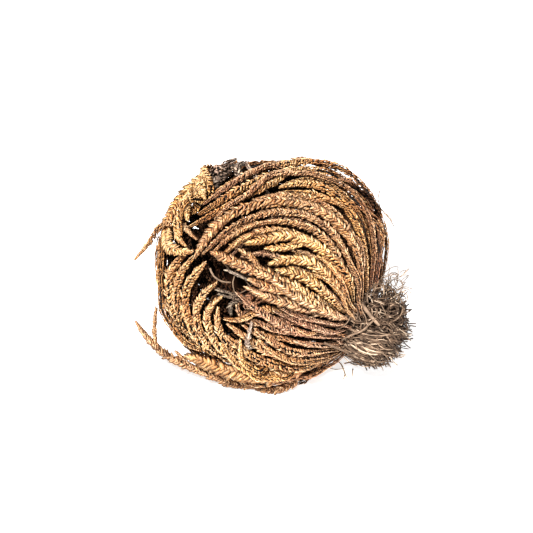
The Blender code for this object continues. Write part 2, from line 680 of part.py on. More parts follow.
def root_line(rng):
    """A root from inside the crown outwards, bending as it goes."""
    aim = unit(ROOT_AIM)
    one = unit(np.cross(aim, [0.0, 0.0, 1.0]))
    two = np.cross(aim, one)
    lean = ROOT_FAN * math.sqrt(rng.random())
    turn = 2 * math.pi * rng.random()
    way = aim * math.cos(lean) + (one * math.cos(turn) + two * math.sin(turn)) * math.sin(lean)
    bend = unit(rng.normal(size=3)) * ROOT_BEND
    length = rng.uniform(*ROOT_LONG)
    reach = np.linspace(-ROOT_SUNK, length, ROOT_SAMPLES * (ROOT_RINGS - 1) + 1)
    share = np.clip(reach / length, 0.0, 1.0)
    return CROWN + way * (CROWN_RADIUS + reach)[:, None] + bend * (length * share ** 2)[:, None]


def root_piece(name, line, turn):
    """A root of three sides that narrows to a blunt end."""
    forward = unit(line[-1] - line[0])
    one = unit(np.cross(forward, [0.3, 0.2, 1.0]))
    two = np.cross(forward, one)
    points = []
    for number, point in enumerate(line):
        thick = ROOT_THICK * (1.0 - ROOT_TAPER * number)
        for corner in range(3):
            angle = turn + 2 * math.pi * corner / 3
            points.append(tuple(point + thick * (one * math.cos(angle) + two * math.sin(angle))))
    return new_object(name, points, tube_faces(len(line), 3, pointed=False))


def make_crown(cords):
    """The crown with its roots, each of them clear of every frond."""
    rng = np.random.default_rng(ROOT_SEED)
    stems = np.vstack([cord.line for cord in cords])
    thick = np.concatenate([cord.radius for cord in cords])
    crown = new_object("crown_and_roots", *ball_points(CROWN, np.full(3, CROWN_RADIUS), 3))
    roots = []
    for _ in range(ROOT_TRIES * ROOTS):
        line = root_line(rng)
        outside = line[np.linalg.norm(line - CROWN, axis=1) > CROWN_RADIUS - 0.5]
        room = np.linalg.norm(outside[:, None] - stems[None], axis=2) - thick - ROOT_THICK
        if room.min() < 2 * GAP or (line @ RISE).min() < ROOT_OFF_FLOOR - FLOOR:
            continue
        turn = rng.uniform(0, math.pi)
        roots.append(root_piece(f"root_{len(roots)}", line[::ROOT_SAMPLES], turn))
        if len(roots) == ROOTS:
            break
    union(crown, roots)
    paint(crown, ROOT_BROWN)


def main():
    for obj in list(bpy.data.objects):
        bpy.data.objects.remove(obj)
    cords = []
    face_cords(cords)
    back_cords(cords)
    Bundle(cords).settle()
    make_crown(cords)
    make_heart()
    make_fronds(cords)


main()
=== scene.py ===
# %% [markdown]
# # A rose of jericho, dry and curled up
# The plant is a small fern-like desert plant. Dry, its leafy stems roll up into a ball the size of
# a fist, beside a short woody crown with a brush of roots. This file dresses the plant's solid
# model with what the eye sees on the real one: tens of thousands of small scale leaves, the wiry
# roots, and the loose twigs and hairs between them.
#
# Its solids stay as they are, and each one is replaced by a finer piece of the same form at the
# same place.

import json
import math

import bpy
import numpy as np
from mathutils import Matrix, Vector

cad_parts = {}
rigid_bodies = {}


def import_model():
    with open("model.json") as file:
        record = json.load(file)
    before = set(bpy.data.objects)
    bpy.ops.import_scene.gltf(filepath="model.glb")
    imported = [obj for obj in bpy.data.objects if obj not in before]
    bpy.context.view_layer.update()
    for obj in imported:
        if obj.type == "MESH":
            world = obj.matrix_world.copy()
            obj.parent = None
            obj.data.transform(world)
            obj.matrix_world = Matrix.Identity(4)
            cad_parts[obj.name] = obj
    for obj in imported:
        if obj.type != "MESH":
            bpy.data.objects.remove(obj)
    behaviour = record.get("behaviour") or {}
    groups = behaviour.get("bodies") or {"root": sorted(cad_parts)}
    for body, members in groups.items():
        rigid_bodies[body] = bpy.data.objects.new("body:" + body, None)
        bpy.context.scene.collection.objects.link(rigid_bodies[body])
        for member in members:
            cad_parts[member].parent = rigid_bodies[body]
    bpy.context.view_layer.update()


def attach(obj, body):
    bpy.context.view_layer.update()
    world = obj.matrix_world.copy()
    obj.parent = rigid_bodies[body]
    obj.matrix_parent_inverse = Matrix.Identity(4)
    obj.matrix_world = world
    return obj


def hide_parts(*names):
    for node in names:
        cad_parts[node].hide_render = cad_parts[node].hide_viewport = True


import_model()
MM = 0.001


# %% [markdown]
# ## The face of the ball
# The plant is described on its face, the side that someone sees who stands before it and looks
# down at it by 35 degrees. Across runs right, up runs up, and out comes towards that person, all
# in millimetres from the middle of the ball. One function turns such places into the world's.
# World places could be read one by one instead, but each strand would then need its own measures.

# %% Face places to world places
HALF_WIDE, HALF_HIGH, HALF_DEEP = 38.5, 36.3, 33.0
FACE_TILT = math.radians(35.0)
RISE = np.array([0.0, math.cos(FACE_TILT), math.sin(FACE_TILT)])
FLOOR = 34.6
MIDDLE = (-1.07, -1.55)
TINY = 1e-6


def to_world(points):
    """Face places in millimetres to world places in metres."""
    across, up, out = np.asarray(points, float).T
    sin, cos = math.sin(FACE_TILT), math.cos(FACE_TILT)
    world = [across + MIDDLE[0], up * sin - out * cos + MIDDLE[1], up * cos + out * sin + FLOOR]
    return np.stack(world, axis=1) * MM


print("middle of the ball:", to_world([(0, 0, 0)])[0].round(4))

# %% [markdown]
# ## Floor, light and camera
# The plant lies on a plain white table. The table glows a little, so that it comes out as white as
# in the photo. A soft light stands in front of the plant and above it, a little to the left, so
# each leaf has a light side and a dark one and the gaps between the fronds stay dark. A wider and
# weaker one lifts the right side. A sun would give harder shadows than a studio has.

# %% Floor
FLOOR_HALF = 3.0
FLOOR_WHITE = (0.93, 0.93, 0.93, 1.0)
FLOOR_GLOW = 0.55


def deselect_all():
    """Operators act on all that is selected, so each piece starts from nothing selected."""
    if bpy.context.mode != "OBJECT":
        bpy.ops.object.mode_set(mode="OBJECT")
    bpy.ops.object.select_all(action="DESELECT")


deselect_all()
bpy.ops.mesh.primitive_plane_add(size=2 * FLOOR_HALF, location=(0, 0, 0))
floor = bpy.context.object
floor.name = "floor"
floor_paint = bpy.data.materials.new("pale_floor")
floor_paint.use_nodes = True
floor_shader = floor_paint.node_tree.nodes["Principled BSDF"]
floor_shader.inputs["Base Color"].default_value = FLOOR_WHITE
floor_shader.inputs["Roughness"].default_value = 0.6
floor_shader.inputs["Specular IOR Level"].default_value = 0.2
floor_shader.inputs["Emission Color"].default_value = (1.0, 1.0, 1.0, 1.0)
floor_shader.inputs["Emission Strength"].default_value = FLOOR_GLOW
floor.data.materials.append(floor_paint)
print("floor:", floor.dimensions)

# %% Lights
BALL = to_world([(0, 0, 0)])[0]


def soft_light(name, place, size, power):
    """A square area light that faces the middle of the ball."""
    deselect_all()
    bpy.ops.object.light_add(type="AREA", location=place)
    light = bpy.context.object
    light.name = name
    light.data.size = size
    light.data.energy = power
    aim = Vector(BALL) - light.location
    light.rotation_euler = aim.to_track_quat("-Z", "Y").to_euler()


soft_light("key_light", place=(-0.16, -0.62, 0.75), size=0.12, power=17.2)
soft_light("fill_light", place=(0.75, -0.75, 0.45), size=0.5, power=3.0)

# %% Light from all round
ROOM_LIGHT = 0.36

world = bpy.data.worlds.new("studio")
bpy.context.scene.world = world
world.use_nodes = True
room = world.node_tree.nodes["Background"]
room.inputs["Color"].default_value = (1.0, 1.0, 1.0, 1.0)
room.inputs["Strength"].default_value = ROOM_LIGHT
bpy.context.scene.view_settings.view_transform = "Standard"
bpy.context.scene.view_settings.look = "Medium High Contrast"
print("light from all round:", ROOM_LIGHT)

# %% Camera
IMAGE = 533
MM_PER_PIXEL = 0.34
BALL_PIXEL = (270.0, 268.0)
CAMERA_FAR = 1.1
SENSOR = 36.0

bpy.ops.object.camera_add()
camera = bpy.context.object
camera.data.sensor_width = SENSOR
camera.data.lens = SENSOR * CAMERA_FAR / (IMAGE * MM_PER_PIXEL * MM)
aim_across = (IMAGE / 2 - BALL_PIXEL[0]) * MM_PER_PIXEL
aim_up = (BALL_PIXEL[1] - IMAGE / 2) * MM_PER_PIXEL
camera.location = to_world([(aim_across, aim_up, CAMERA_FAR / MM)])[0]
camera.rotation_euler = (math.radians(90.0) - FACE_TILT, 0.0, 0.0)
camera.data.clip_start = 0.05
bpy.context.scene.camera = camera
print("camera lens in mm:", round(camera.data.lens, 1))

# %% [markdown]
# ## Routes of the fronds
# A frond is a leafy stem, often with branches, that starts at the crown and curls over the ball.
# Each route is a short list of places (across, up, lift) read from the plant's face, where lift
# is the height over the ball's surface and BACK marks the far side. The solid model has the same
# routes, so that each dressed frond lies exactly where its solid is. Reading middle lines back
# out of the solids would be harder, and would lose which strand belongs to which frond.

# %% The crown, and how a frond is kept
CROWN = np.array([29.5, -19.5, 8.0])
CROWN_RADIUS = 7.5
BACK = -1
FRONDS = {}


def frond(name, route, thick=1.6, slim=24.0, branches=()):
    """Keep a frond: its main stem's route over the ball, and those of its branches.

    A route's points are (across, up, lift) on the face, with BACK after them on the far side.
    The stem is slim over its first slim millimetres.
    """
    FRONDS[name] = {"route": route, "thick": thick, "slim": slim, "branches": branches}


print("crown at", CROWN, "with a radius of", CROWN_RADIUS, "mm")

# %% Fronds over the crest, from the outside in
frond("crest_outer", [(36.5, -9, -2), (39.3, 2, 0), (38.8, 13, 0), (35, 23.5, 0), (28.5, 31, 0),
                      (20.5, 35, 0), (12.5, 36.6, 0), (3.5, 35, 0), (-5, 32.3, 0), (-12, 29.3, -1),
                      (-18, 25.5, -3)], 1.5, 60)
frond("crest_second", [(35, -7, -1), (36.5, 6, 0), (34.3, 17, 0), (28.5, 26.5, 0), (20.5, 32, 0),
                       (11.5, 33.4, 0), (1.5, 31.4, 0), (-8, 27.6, 0), (-16, 22.8, -1),
                       (-23.5, 18, -3)], 1.6, 60,
      [[(6, 29.8, -1), (-2, 27.4, -1), (-10, 23, -1), (-18, 18.3, -1.5), (-26.5, 14, -3)]])
frond("crest_third", [(33, -6, -3), (34, 6, -3), (31.5, 16.5, -3), (26.5, 24.3, -2.5), (18, 30, -2),
                      (10, 30.2, -2), (3, 28.4, -2)], 1.5, 55)
frond("crest_fourth", [(32, -6, 0), (32, 6, 0), (29, 16.5, 0), (23.5, 24, 0), (16, 28.3, 0),
                       (9, 28.6, 0), (4, 27, -1)], 1.6, 45,
      [[(21.5, 22.5, -1), (16, 25.6, -1), (10, 26, -1), (5, 24.8, -2)]])
frond("arch_outer", [(30.5, -5, -2.5), (30.5, 4, -2), (28, 12, -2), (23, 18.7, -1.5), (16.5, 22.4, -1),
                     (9, 24.4, -1), (2, 24.6, -1), (-5, 22.8, -2)], 1.5, 40)
frond("golden_arch", [(29.5, -5, 0), (29, 4, 0), (25.5, 12.5, 0), (20, 18, 0), (13, 21.3, 0),
                      (4.5, 22.4, 0), (-4, 20.8, 0), (-12, 17.6, 0), (-18.5, 13, 0), (-22.5, 8, 0),
                      (-25, 4.2, -1)], 1.7, 35)
frond("arch_low", [(27.5, -4, -2), (25.5, 4, -1.5), (21, 11.3, -1), (15, 16.3, 0), (8.5, 19.3, 0),
                   (1, 19.4, 0), (-6.5, 17.6, -0.5), (-13.5, 14.5, -1), (-19, 10, -1.5),
                   (-22, 5.5, -3)], 1.4, 30)
frond("arch_inner", [(26, -3, -2.5), (23.5, 4.5, -2), (19, 10, -1.5), (13, 14, -1), (6.5, 16.2, -0.5),
                     (0.5, 16.3, -0.5), (-3, 15.8, -1)], 1.4, 28,
      [[(-6, 15, 0), (-12, 12.6, 0), (-16.3, 8.6, -1), (-18.5, 5.6, -3)]])
frond("curl", [(24.5, -2, -4), (22, 5, -3), (17, 9.7, -2), (10.5, 13.2, -1), (4, 13.8, 0),
               (-2.5, 13.3, 0.5), (-8.5, 12.4, 0.5), (-12.8, 9, 0), (-15, 4.8, -2)], 1.3, 24)
frond("flat_gold", [(23, -3, -1), (20, 4, 0), (14, 9.3, 0), (8, 11, 0.5), (1.5, 11.2, 1),
                    (-4.5, 9.6, 1), (-7.6, 8.4, 0.5)], 1.9, 20,
      [[(9, 8.6, 0.5), (3.5, 8.2, 0.7), (-1, 7.3, 0.5)]])
frond("sliver", [(22, -4, -3), (18.5, 1.5, -2), (14, 5, -1), (9, 6.6, -1), (6, 6.3, -2)], 1.1, 20)

print("fronds with a route:", len(FRONDS))

# %% Fronds straight out of the crown towards the mouth of the ball
frond("pale_one", [(22, -7, -1), (18.5, -2.5, 0), (14.5, 1.5, 0), (9.5, 3.8, 0), (4.5, 3, 0),
                   (0.5, 1, -0.5)], 2.1, 18)
frond("pale_two", [(21, -9.5, -1), (16, -5.8, 0), (11.5, -1.8, 0), (7, 0.3, 0), (2.5, -0.5, -0.5)],
      2.1, 16)
frond("pale_three", [(20, -12, -1), (14.5, -8.7, 0), (9.5, -5, 0), (5.5, -2.8, 0), (3, -2.5, -1)],
      1.9, 14)
frond("mouth_long", [(21, -14.5, 0), (14, -12.3, 0.5), (8, -9, 1.5), (2.5, -5.3, 2), (-3.5, -1.7, 2),
                     (-9.5, 1.2, 2), (-14.5, 3.5, 2), (-18.8, 5, 1.5)], 2.1, 16,
      [[(3, -7.8, 1), (-2, -5.5, 1), (-6.5, -3.5, 0.5)],
       [(-4.5, 2.5, 1.5), (-6.5, 4.8, 1.5), (-10, 5.8, 1)]])
frond("mouth_low", [(22, -16, -1), (15, -14.8, -0.5), (8.5, -12, 0), (3, -9.8, 0), (-2.5, -8.6, 0),
                    (-7.5, -6.5, -1)], 1.7, 16)
frond("low_one", [(24, -18, -1), (17, -17, -1), (11, -15.5, -1.5), (6, -13.2, -3), (2.5, -12, -6)],
      1.4, 14)
frond("low_two", [(24, -20, 0), (17, -19.7, 0), (10.5, -18.8, -0.5), (5.5, -16.8, -2),
                  (1.5, -14.3, -4)], 1.4, 14)
frond("low_three", [(24, -22.5, 0), (17, -22.6, 0), (10, -22, 0), (4, -19, 0), (-1.5, -16.2, 0),
                    (-6, -13.6, 0), (-9, -11, -1), (-10.5, -8.5, -3)], 1.5, 16)
frond("low_four", [(24, -25.5, -1), (18, -26.2, 0), (12.5, -25.3, 0), (9, -23.2, 0.5)], 1.5, 14)

print("fronds with a route:", len(FRONDS))

# %% Fronds along the bottom that turn up round the mouth, from the inside out
frond("lap_one", [(24, -27, -3), (17, -29, -1), (9.5, -30, 0), (3.5, -27.8, 0), (-0.5, -24, 0),
                  (-4.5, -20.5, -0.5)], 1.5, 18)
frond("lap_two", [(22, -28.5, -4), (14, -31.5, -1), (5, -31, 0), (-2.5, -27.8, 0), (-8, -24, 0),
                  (-11.5, -20.5, -0.5), (-14, -18.8, -2)], 1.5, 18)
frond("lap_three", [(20, -29.5, -4), (11, -33.2, -1), (2, -33.3, 0), (-5, -31, 0.5), (-9.5, -28, 1),
                    (-13.5, -24.8, 1), (-16, -22.8, 0)], 1.7, 20,
      [[(-9.3, -27, 1), (-10, -24, 1)]])
frond("side_one", [(18, -30.5, -4), (9, -34.3, -1), (0, -34.2, 0), (-8, -31.5, 0), (-14.5, -27.3, 0),
                   (-18.3, -22, 0), (-19.7, -17, 0), (-18, -13.2, -1.5)], 1.6)
frond("side_two", [(16, -32, -4), (8, -35, 0), (-2, -35.2, 0), (-11, -32.8, 0), (-18, -27.3, 0),
                   (-22, -21, 0), (-23, -15, 0), (-20.5, -11, 0), (-16.5, -9.8, -3)], 1.6)
frond("side_three", [(12, -34.5, 0, BACK), (-4, -36, 0), (-14, -32.2, 0), (-21.3, -26, 0),
                     (-25.7, -18, 0), (-26, -11.5, 0), (-22.5, -7.3, 0), (-18, -5, -4)], 1.6)
frond("side_four", [(9, -35, 0, BACK), (-7, -35.5, 0, BACK), (-18, -30.8, 0), (-25.5, -23, 0),
                    (-29.2, -13.5, 0), (-29.2, -6, 0), (-26, -1.3, 0), (-21.5, 1.7, -1)], 1.7)
frond("side_five", [(8, -33, 0, BACK), (-8, -34, 0, BACK), (-19, -30.5, 0, BACK), (-28.5, -21, 0),
                    (-32.3, -10, 0), (-31.8, -2, 0), (-28.5, 2, -1), (-25.5, 3.8, -2)], 1.6)
frond("rim_one", [(7, -31, 0, BACK), (-9, -32, 0, BACK), (-21.5, -27.5, 0, BACK), (-30.5, -19, 0),
                  (-34.5, -9, 0), (-35.2, -2, 0.5), (-33.2, 3, 0.5), (-29.5, 5.5, -1)], 1.7)
frond("rim_two", [(6, -28, 0, BACK), (-10, -29, 0, BACK), (-24, -23, 0, BACK), (-33.5, -15, 0),
                  (-37.3, -5, 0), (-38.5, 3, 0), (-37.8, 10, -2)], 1.6)


print("fronds with a route:", len(FRONDS))

# %% Fronds that come over from the far side, and the strays that stand off the ball
frond("hook", [(20, 0, 0, BACK), (5, 18, 0, BACK), (-9, 29, 0, BACK), (-21, 32.3, 0),
               (-29.3, 26.3, 0), (-33.7, 19, 0), (-35.9, 11.5, 1), (-34.5, 6, 1.5),
               (-30.5, 4.0, 1.5), (-26, 5.4, 1)], 1.7, 24,
      [[(-28.3, 22, 1), (-28, 18.5, 1), (-27.7, 16.3, 0.5)],
       [(-23.4, 29.5, 2), (-23.2, 26.5, 2.5), (-21.9, 23.3, 2)]])
frond("grey_tip", [(18, -6, 0, BACK), (0, 10, 0, BACK), (-16, 20, 0, BACK), (-23.5, 24, -6),
                   (-19.5, 29, -2), (-15, 33, 0), (-11, 35.3, 0)], 1.6)
frond("left_stray", [(14, -10, 0, BACK), (-6, 0, 0, BACK), (-24, 10, 0, BACK), (-34.5, 13.5, 0),
                     (-39, 9.5, 0), (-42.3, 6.7, 0), (-45.3, 3.7, 0)], 1.2)
frond("low_stray", [(20, -29, 0, BACK), (10, -35, 0), (3, -36.6, 0), (-7, -37.2, 0), (-17, -36, 0),
                    (-27, -33.8, 0), (-35, -30.8, 0), (-40.8, -26.5, 0), (-43.8, -22.5, 0),
                    (-45.2, -18.8, 0)], 1.4, 24,
      [[(-40.3, -23, 0), (-40, -19, 0), (-38.8, -14.2, 0)],
       [(-31, -31, 0.5), (-31.7, -28.6, 0.5)]])
frond("feather", [(21, -29.5, -6), (10, -34.5, 0), (-1, -35, 1.5), (-10, -33.6, 2.5),
                  (-18, -31.8, 2.5), (-24, -30.3, 2.5), (-28, -30, 2.5)], 1.7)
print("fronds with a route:", len(FRONDS))

# %% [markdown]
# ## From a few places to a smooth strand
# A strand has to pass through its places without kinks. A centripetal curve does that and never
# makes loops of its own. Its samples are then spread evenly, because the settling step further
# down works on samples that all have about the same distance.

# %% Places on the ball
def on_ball(across, up, lift=0.0, side=1):
    """The point of the ball's surface at a place on the face, lifted off it by lift."""
    inside = 1.0 - (across / HALF_WIDE) ** 2 - (up / HALF_HIGH) ** 2
    dome = HALF_DEEP * math.sqrt(max(inside, 0.0))
    return np.array([across, up, side * (dome + lift)])


print("the ball's front is at", on_ball(0, 0), "and its back at", on_ball(0, 0, side=BACK))

# %% Even samples
CORD_STEP = 1.6


def arc_length(line):
    """Distance along a line to each of its points."""
    return np.concatenate([[0.0], np.cumsum(np.linalg.norm(np.diff(line, axis=0), axis=1))])


def unit(vectors):
    """The same directions, each one long."""
    return vectors / np.linalg.norm(vectors, axis=-1, keepdims=True)


def resample(line, step):
    """The same line with its points spread evenly, about step apart."""
    along = arc_length(line)
    count = max(4, int(round(along[-1] / step)) + 1)
    even = np.linspace(0.0, along[-1], count)
    return np.stack([np.interp(even, along, line[:, k]) for k in range(3)], axis=1)


print("a straight 16 mm line has", len(resample(np.array([[0, 0, 0], [16, 0, 0]]), CORD_STEP)), "samples")

# %% Smooth routes
CURVE_STEPS = 12


def smooth_route(points):
    """A smooth line through the points, with a sample about every CORD_STEP."""
    points = np.asarray(points, float)
    ends = 2 * points[0] - points[1], 2 * points[-1] - points[-2]
    points = np.vstack([ends[0], points, ends[1]])
    fine = []
    for i in range(1, len(points) - 2):
        a, b, c, d = points[i - 1:i + 3]
        knots = [0.0]
        for p, q in ((a, b), (b, c), (c, d)):
            knots.append(knots[-1] + math.sqrt(max(np.linalg.norm(q - p), TINY)))
        k0, k1, k2, k3 = knots
        for t in np.linspace(k1, k2, CURVE_STEPS, endpoint=False):
            ab = ((k1 - t) * a + (t - k0) * b) / (k1 - k0)
            bc = ((k2 - t) * b + (t - k1) * c) / (k2 - k1)
            cd = ((k3 - t) * c + (t - k2) * d) / (k3 - k2)
            abc = ((k2 - t) * ab + (t - k0) * bc) / (k2 - k0)
            bcd = ((k3 - t) * bc + (t - k1) * cd) / (k3 - k1)
            fine.append(((k2 - t) * abc + (t - k1) * bcd) / (k2 - k1))
    fine.append(points[-2])
    return resample(np.array(fine), CORD_STEP)


print("a bent line of three places has", len(smooth_route([(0, 0, 0), (8, 3, 0), (16, 0, 0)])), "samples")

# %% [markdown]
# ## Strands
# A strand is one leafy stem. It is thin where it leaves the crown, swells over its first part and
# thins again over its last. Its radius is worked out along its middle line, because leaves,
# stems and the settling step all need it. A branch starts on its stem, a little before the first
# place of its route, so that it leaves at a slant as branches do.

# %% A strand
BASE_THICK = 0.95
TIP_LONG = 14.0
TIP_SHARE = 0.42


class Cord:
    """A leafy stem: the frond it belongs to, its middle line, its radius along it, and its fork."""

    def __init__(self, name, line, thick, slim, parent=None, fork=0):
        self.name = name
        self.line = line
        self.parent = parent
        self.fork = fork
        along = arc_length(line)
        swell = np.clip(along / slim, 0.0, 1.0)
        body = BASE_THICK + (thick - BASE_THICK) * swell * swell * (3 - 2 * swell)
        tip = np.clip((along[-1] - along) / TIP_LONG, 0.0, 1.0)
        self.radius = body * (TIP_SHARE + (1 - TIP_SHARE) * np.sqrt(tip))


example = Cord("example", np.array([[0.0, 0, 0], [20, 0, 0], [40, 0, 0]]), 1.6, 24)
print("radii at the start, middle and end of a strand:", example.radius.round(2))

# %% Strands on the face
GAP = 0.35
STOUT = 1.18
BRANCH_SHARE = 0.88
BRANCH_SLIM = 10.0
FORK_BEFORE = 3


def from_crown(route):
    """A route with its start added, on the crown, facing the route's first point."""
    lead = unit(route[0] - CROWN)
    return [CROWN + lead * (CROWN_RADIUS + GAP)] + list(route)


def add_branch(cords, parent, route, thick):
    """Fork a branch off a main stem a little before the branch's first point."""
    main = cords[parent]
    nearest = int(np.linalg.norm(main.line - route[0], axis=1).argmin())
    fork = max(1, nearest - FORK_BEFORE)
    line = smooth_route([main.line[fork]] + list(route))
    cords.append(Cord(main.name, line, thick, BRANCH_SLIM, parent, fork))


def face_cords(cords):
    """Stems of the fronds whose routes are given above."""
    for name, shape in FRONDS.items():
        route = [on_ball(*point) for point in shape["route"]]
        line = smooth_route(from_crown(route))
        cords.append(Cord(name, line, STOUT * shape["thick"], shape["slim"]))
        parent = len(cords) - 1
        for branch in shape["branches"]:
            places = [on_ball(*point) for point in branch]
            add_branch(cords, parent, places, STOUT * BRANCH_SHARE * shape["thick"])


cords = []
face_cords(cords)
print("strands on the face:", len(cords))

# %% [markdown]
# ## Strands on the far side
# The photo doesn't show the far side. On the plant every stem starts at the crown and bends over
# to the other end of the ball, so the far side gets great circles from the crown to the point
# across from it, each a main stem between two branches. Routes drawn one by one would be guesses
# too, and would take longer.

# %% Strands on the far side
BACK_FRONDS = 9
BACK_FIRST = math.radians(4.0)
BACK_LAST = math.radians(192.0)
BACK_SPREAD = math.radians(9.0)
BACK_START = math.radians(24.0)
BACK_REACH = math.radians(174.0)
BACK_SHORTER = math.radians(15.0)
BACK_FORK = 0.14
BACK_POINTS = 9
BACK_SLIM = 24.0
BACK_THICK = 1.95


def back_route(turn, start, end, spread):
    """A great circle over the far side from the crown, at an angle turn round it."""
    pole = unit(CROWN)
    crest = unit(np.array([0.0, 1.0, 0.0]) - pole * pole[1])
    far = np.cross(crest, pole)
    route = []
    for t in np.linspace(start, 1.0, BACK_POINTS):
        reach = BACK_START + (end - BACK_START) * t
        swing = turn + spread * min(1.0, 3.0 * t)
        way = pole * math.cos(reach)
        way = way + (crest * math.cos(swing) + far * math.sin(swing)) * math.sin(reach)
        scale = math.sqrt((way[0] / HALF_WIDE) ** 2 + (way[1] / HALF_HIGH) ** 2
                          + (way[2] / HALF_DEEP) ** 2)
        route.append(way / scale)
    return route


def back_cords(cords):
    """Fronds on the far side, each a main stem between two branches."""
    for i in range(BACK_FRONDS):
        turn = BACK_FIRST + (BACK_LAST - BACK_FIRST) * (i + 0.5) / BACK_FRONDS
        route = from_crown(back_route(turn, 0.0, BACK_REACH, 0.0))
        name = f"back_{i + 1}"
        cords.append(Cord(name, smooth_route(route), BACK_THICK, BACK_SLIM))
        parent = len(cords) - 1
        for side in (-1, 1):
            branch = back_route(turn, BACK_FORK, BACK_REACH - BACK_SHORTER, side * BACK_SPREAD)
            add_branch(cords, parent, branch, BRANCH_SHARE * BACK_THICK)


back_cords(cords)
length = sum(arc_length(cord.line)[-1] for cord in cords)
print("strands in all:", len(cords), "with a length in mm of", round(length))

# %% [markdown]
# ## Strands that make room for each other
# The given routes cross and overlap. On the plant the stems lie against each other. Here each
# strand is pushed away from every neighbour that it overlaps, bit by bit and round by round, and
# it is kept a little stiff and off the floor. The solid model did the same with the same numbers,
# and nothing in it is random, so it comes out the same here. A rigid body simulation would take
# longer and end somewhere else on each machine.

# %% All strands as one bundle
class Bundle:
    """All stems in one array of samples, so that they can be pushed clear of each other."""

    def __init__(self, cords, fixed=0):
        self.cords = cords
        counts = [len(cord.line) for cord in cords]
        self.start = np.concatenate([[0], np.cumsum(counts)])
        self.points = np.vstack([cord.line for cord in cords])
        self.home = self.points.copy()
        self.radius = np.concatenate([cord.radius for cord in cords])
        self.owner = np.repeat(np.arange(len(cords)), counts)
        self.index = np.arange(len(self.points)) - self.start[self.owner]
        self.fork = np.array([cord.fork for cord in cords])
        self.parent = np.array([-1 if cord.parent is None else cord.parent for cord in cords])
        self.linked = self.owner[1:] == self.owner[:-1]
        self.inner = np.concatenate([[False], self.linked[1:] & self.linked[:-1], [False]])
        self.free = self.owner >= fixed


print("samples in the bundle:", len(Bundle(cords).points))

# %% Samples that are near each other
REACH = 7.0
PAIR_BLOCK = 400
# how many samples from a fork a branch, its stem and a twin branch may touch, and how far apart
# the forks of twins are
FORK_SAMPLES = 5
STEM_SAMPLES = 7
TWIN_SAMPLES = 6
TWIN_FORKS = 4


def close_pairs(points, reach):
    """Index pairs of points that lie nearer than reach."""
    firsts, seconds = [], []
    for low in range(0, len(points), PAIR_BLOCK):
        block = points[low:low + PAIR_BLOCK]
        apart = np.linalg.norm(block[:, None] - points[None], axis=2)
        first, second = np.nonzero(apart < reach)
        first = first + low
        keep = first < second
        firsts.append(first[keep])
        seconds.append(second[keep])
    return np.concatenate(firsts), np.concatenate(seconds)


def grown_together(bundle, a, b):
    """Whether two samples are a branch and its stem, or two branches, next to one fork.

    Such samples may touch, because the branch is fused to its stem there.
    """
    joined = np.zeros(len(a), bool)
    for child, stem in ((a, b), (b, a)):
        owner = bundle.owner[child]
        near = np.abs(bundle.index[stem] - bundle.fork[owner]) <= STEM_SAMPLES
        near &= bundle.index[child] <= FORK_SAMPLES
        joined |= (bundle.parent[owner] == bundle.owner[stem]) & near
    first, second = bundle.owner[a], bundle.owner[b]
    twins = (bundle.parent[first] == bundle.parent[second]) & (bundle.parent[first] >= 0)
    twins &= np.abs(bundle.fork[first] - bundle.fork[second]) <= TWIN_FORKS
    twins &= np.maximum(bundle.index[a], bundle.index[b]) <= TWIN_SAMPLES
    return joined | twins


def neighbours(bundle):
    """Pairs of near samples on different stems that have to stay clear of each other."""
    a, b = close_pairs(bundle.points, REACH)
    keep = (bundle.owner[a] != bundle.owner[b]) & ~grown_together(bundle, a, b)
    return a[keep], b[keep]


near_pairs = neighbours(Bundle(cords))
print("pairs of near samples:", len(near_pairs[0]))

# %% Pushes between stems
SHARED_PUSH = 0.6


def push_apart(bundle, a, b):
    """Half of each overlap for either stem, evened out where one has several neighbours."""
    away = bundle.points[b] - bundle.points[a]
    apart = np.linalg.norm(away, axis=1)
    lack = bundle.radius[a] + bundle.radius[b] + GAP - apart
    hit = lack > 0
    step = away[hit] * (0.5 * lack[hit] / np.maximum(apart[hit], TINY))[:, None]
    push = np.zeros_like(bundle.points)
    times = np.zeros(len(bundle.points))
    np.add.at(push, a[hit], -step)
    np.add.at(push, b[hit], step)
    np.add.at(times, a[hit], 1)
    np.add.at(times, b[hit], 1)
    return push / np.maximum(times, 1)[:, None] ** SHARED_PUSH


first_push = push_apart(Bundle(cords), *near_pairs)
print("largest first push in mm:", round(float(np.linalg.norm(first_push, axis=1).max()), 2))

# %% Room for the heart, its neck, the crown and the floor
# The heart is an egg in the middle of the ball, with a neck from the crown. Stems lie round both.
HEART = np.array([-1.0, 1.0, -2.0])
HEART_HALF = np.array([22.0, 21.0, 19.0])
NECK_THICK = 3.0
STEM_PRESSED = 0.55


def keep_out_of_heart(bundle, push):
    reach = HEART_HALF + bundle.radius[:, None] + GAP
    depth = np.linalg.norm((bundle.points - HEART) / reach, axis=1)
    inside = depth < 1
    push[inside] += (bundle.points[inside] - HEART) * (0.5 / depth[inside] - 0.5)[:, None]
    return inside.sum()


def keep_out_of_neck(bundle, push):
    """The neck joins the crown to the heart, and stems pass round it."""
    axis = HEART - CROWN
    share = np.clip((bundle.points - CROWN) @ axis / (axis @ axis), 0.0, 1.0)
    away = bundle.points - (CROWN + share[:, None] * axis)
    apart = np.linalg.norm(away, axis=1)
    need = NECK_THICK + bundle.radius + GAP
    inside = apart < need
    share = 0.5 * (need - apart) / np.maximum(apart, TINY)
    push[inside] += away[inside] * share[inside, None]


def keep_out_of_crown(bundle, push):
    away = bundle.points - CROWN
    apart = np.linalg.norm(away, axis=1)
    need = CROWN_RADIUS + GAP + bundle.radius
    inside = (apart < need) & (bundle.index > 1)
    push[inside] += away[inside] * (0.5 * need / apart - 0.5)[inside, None]


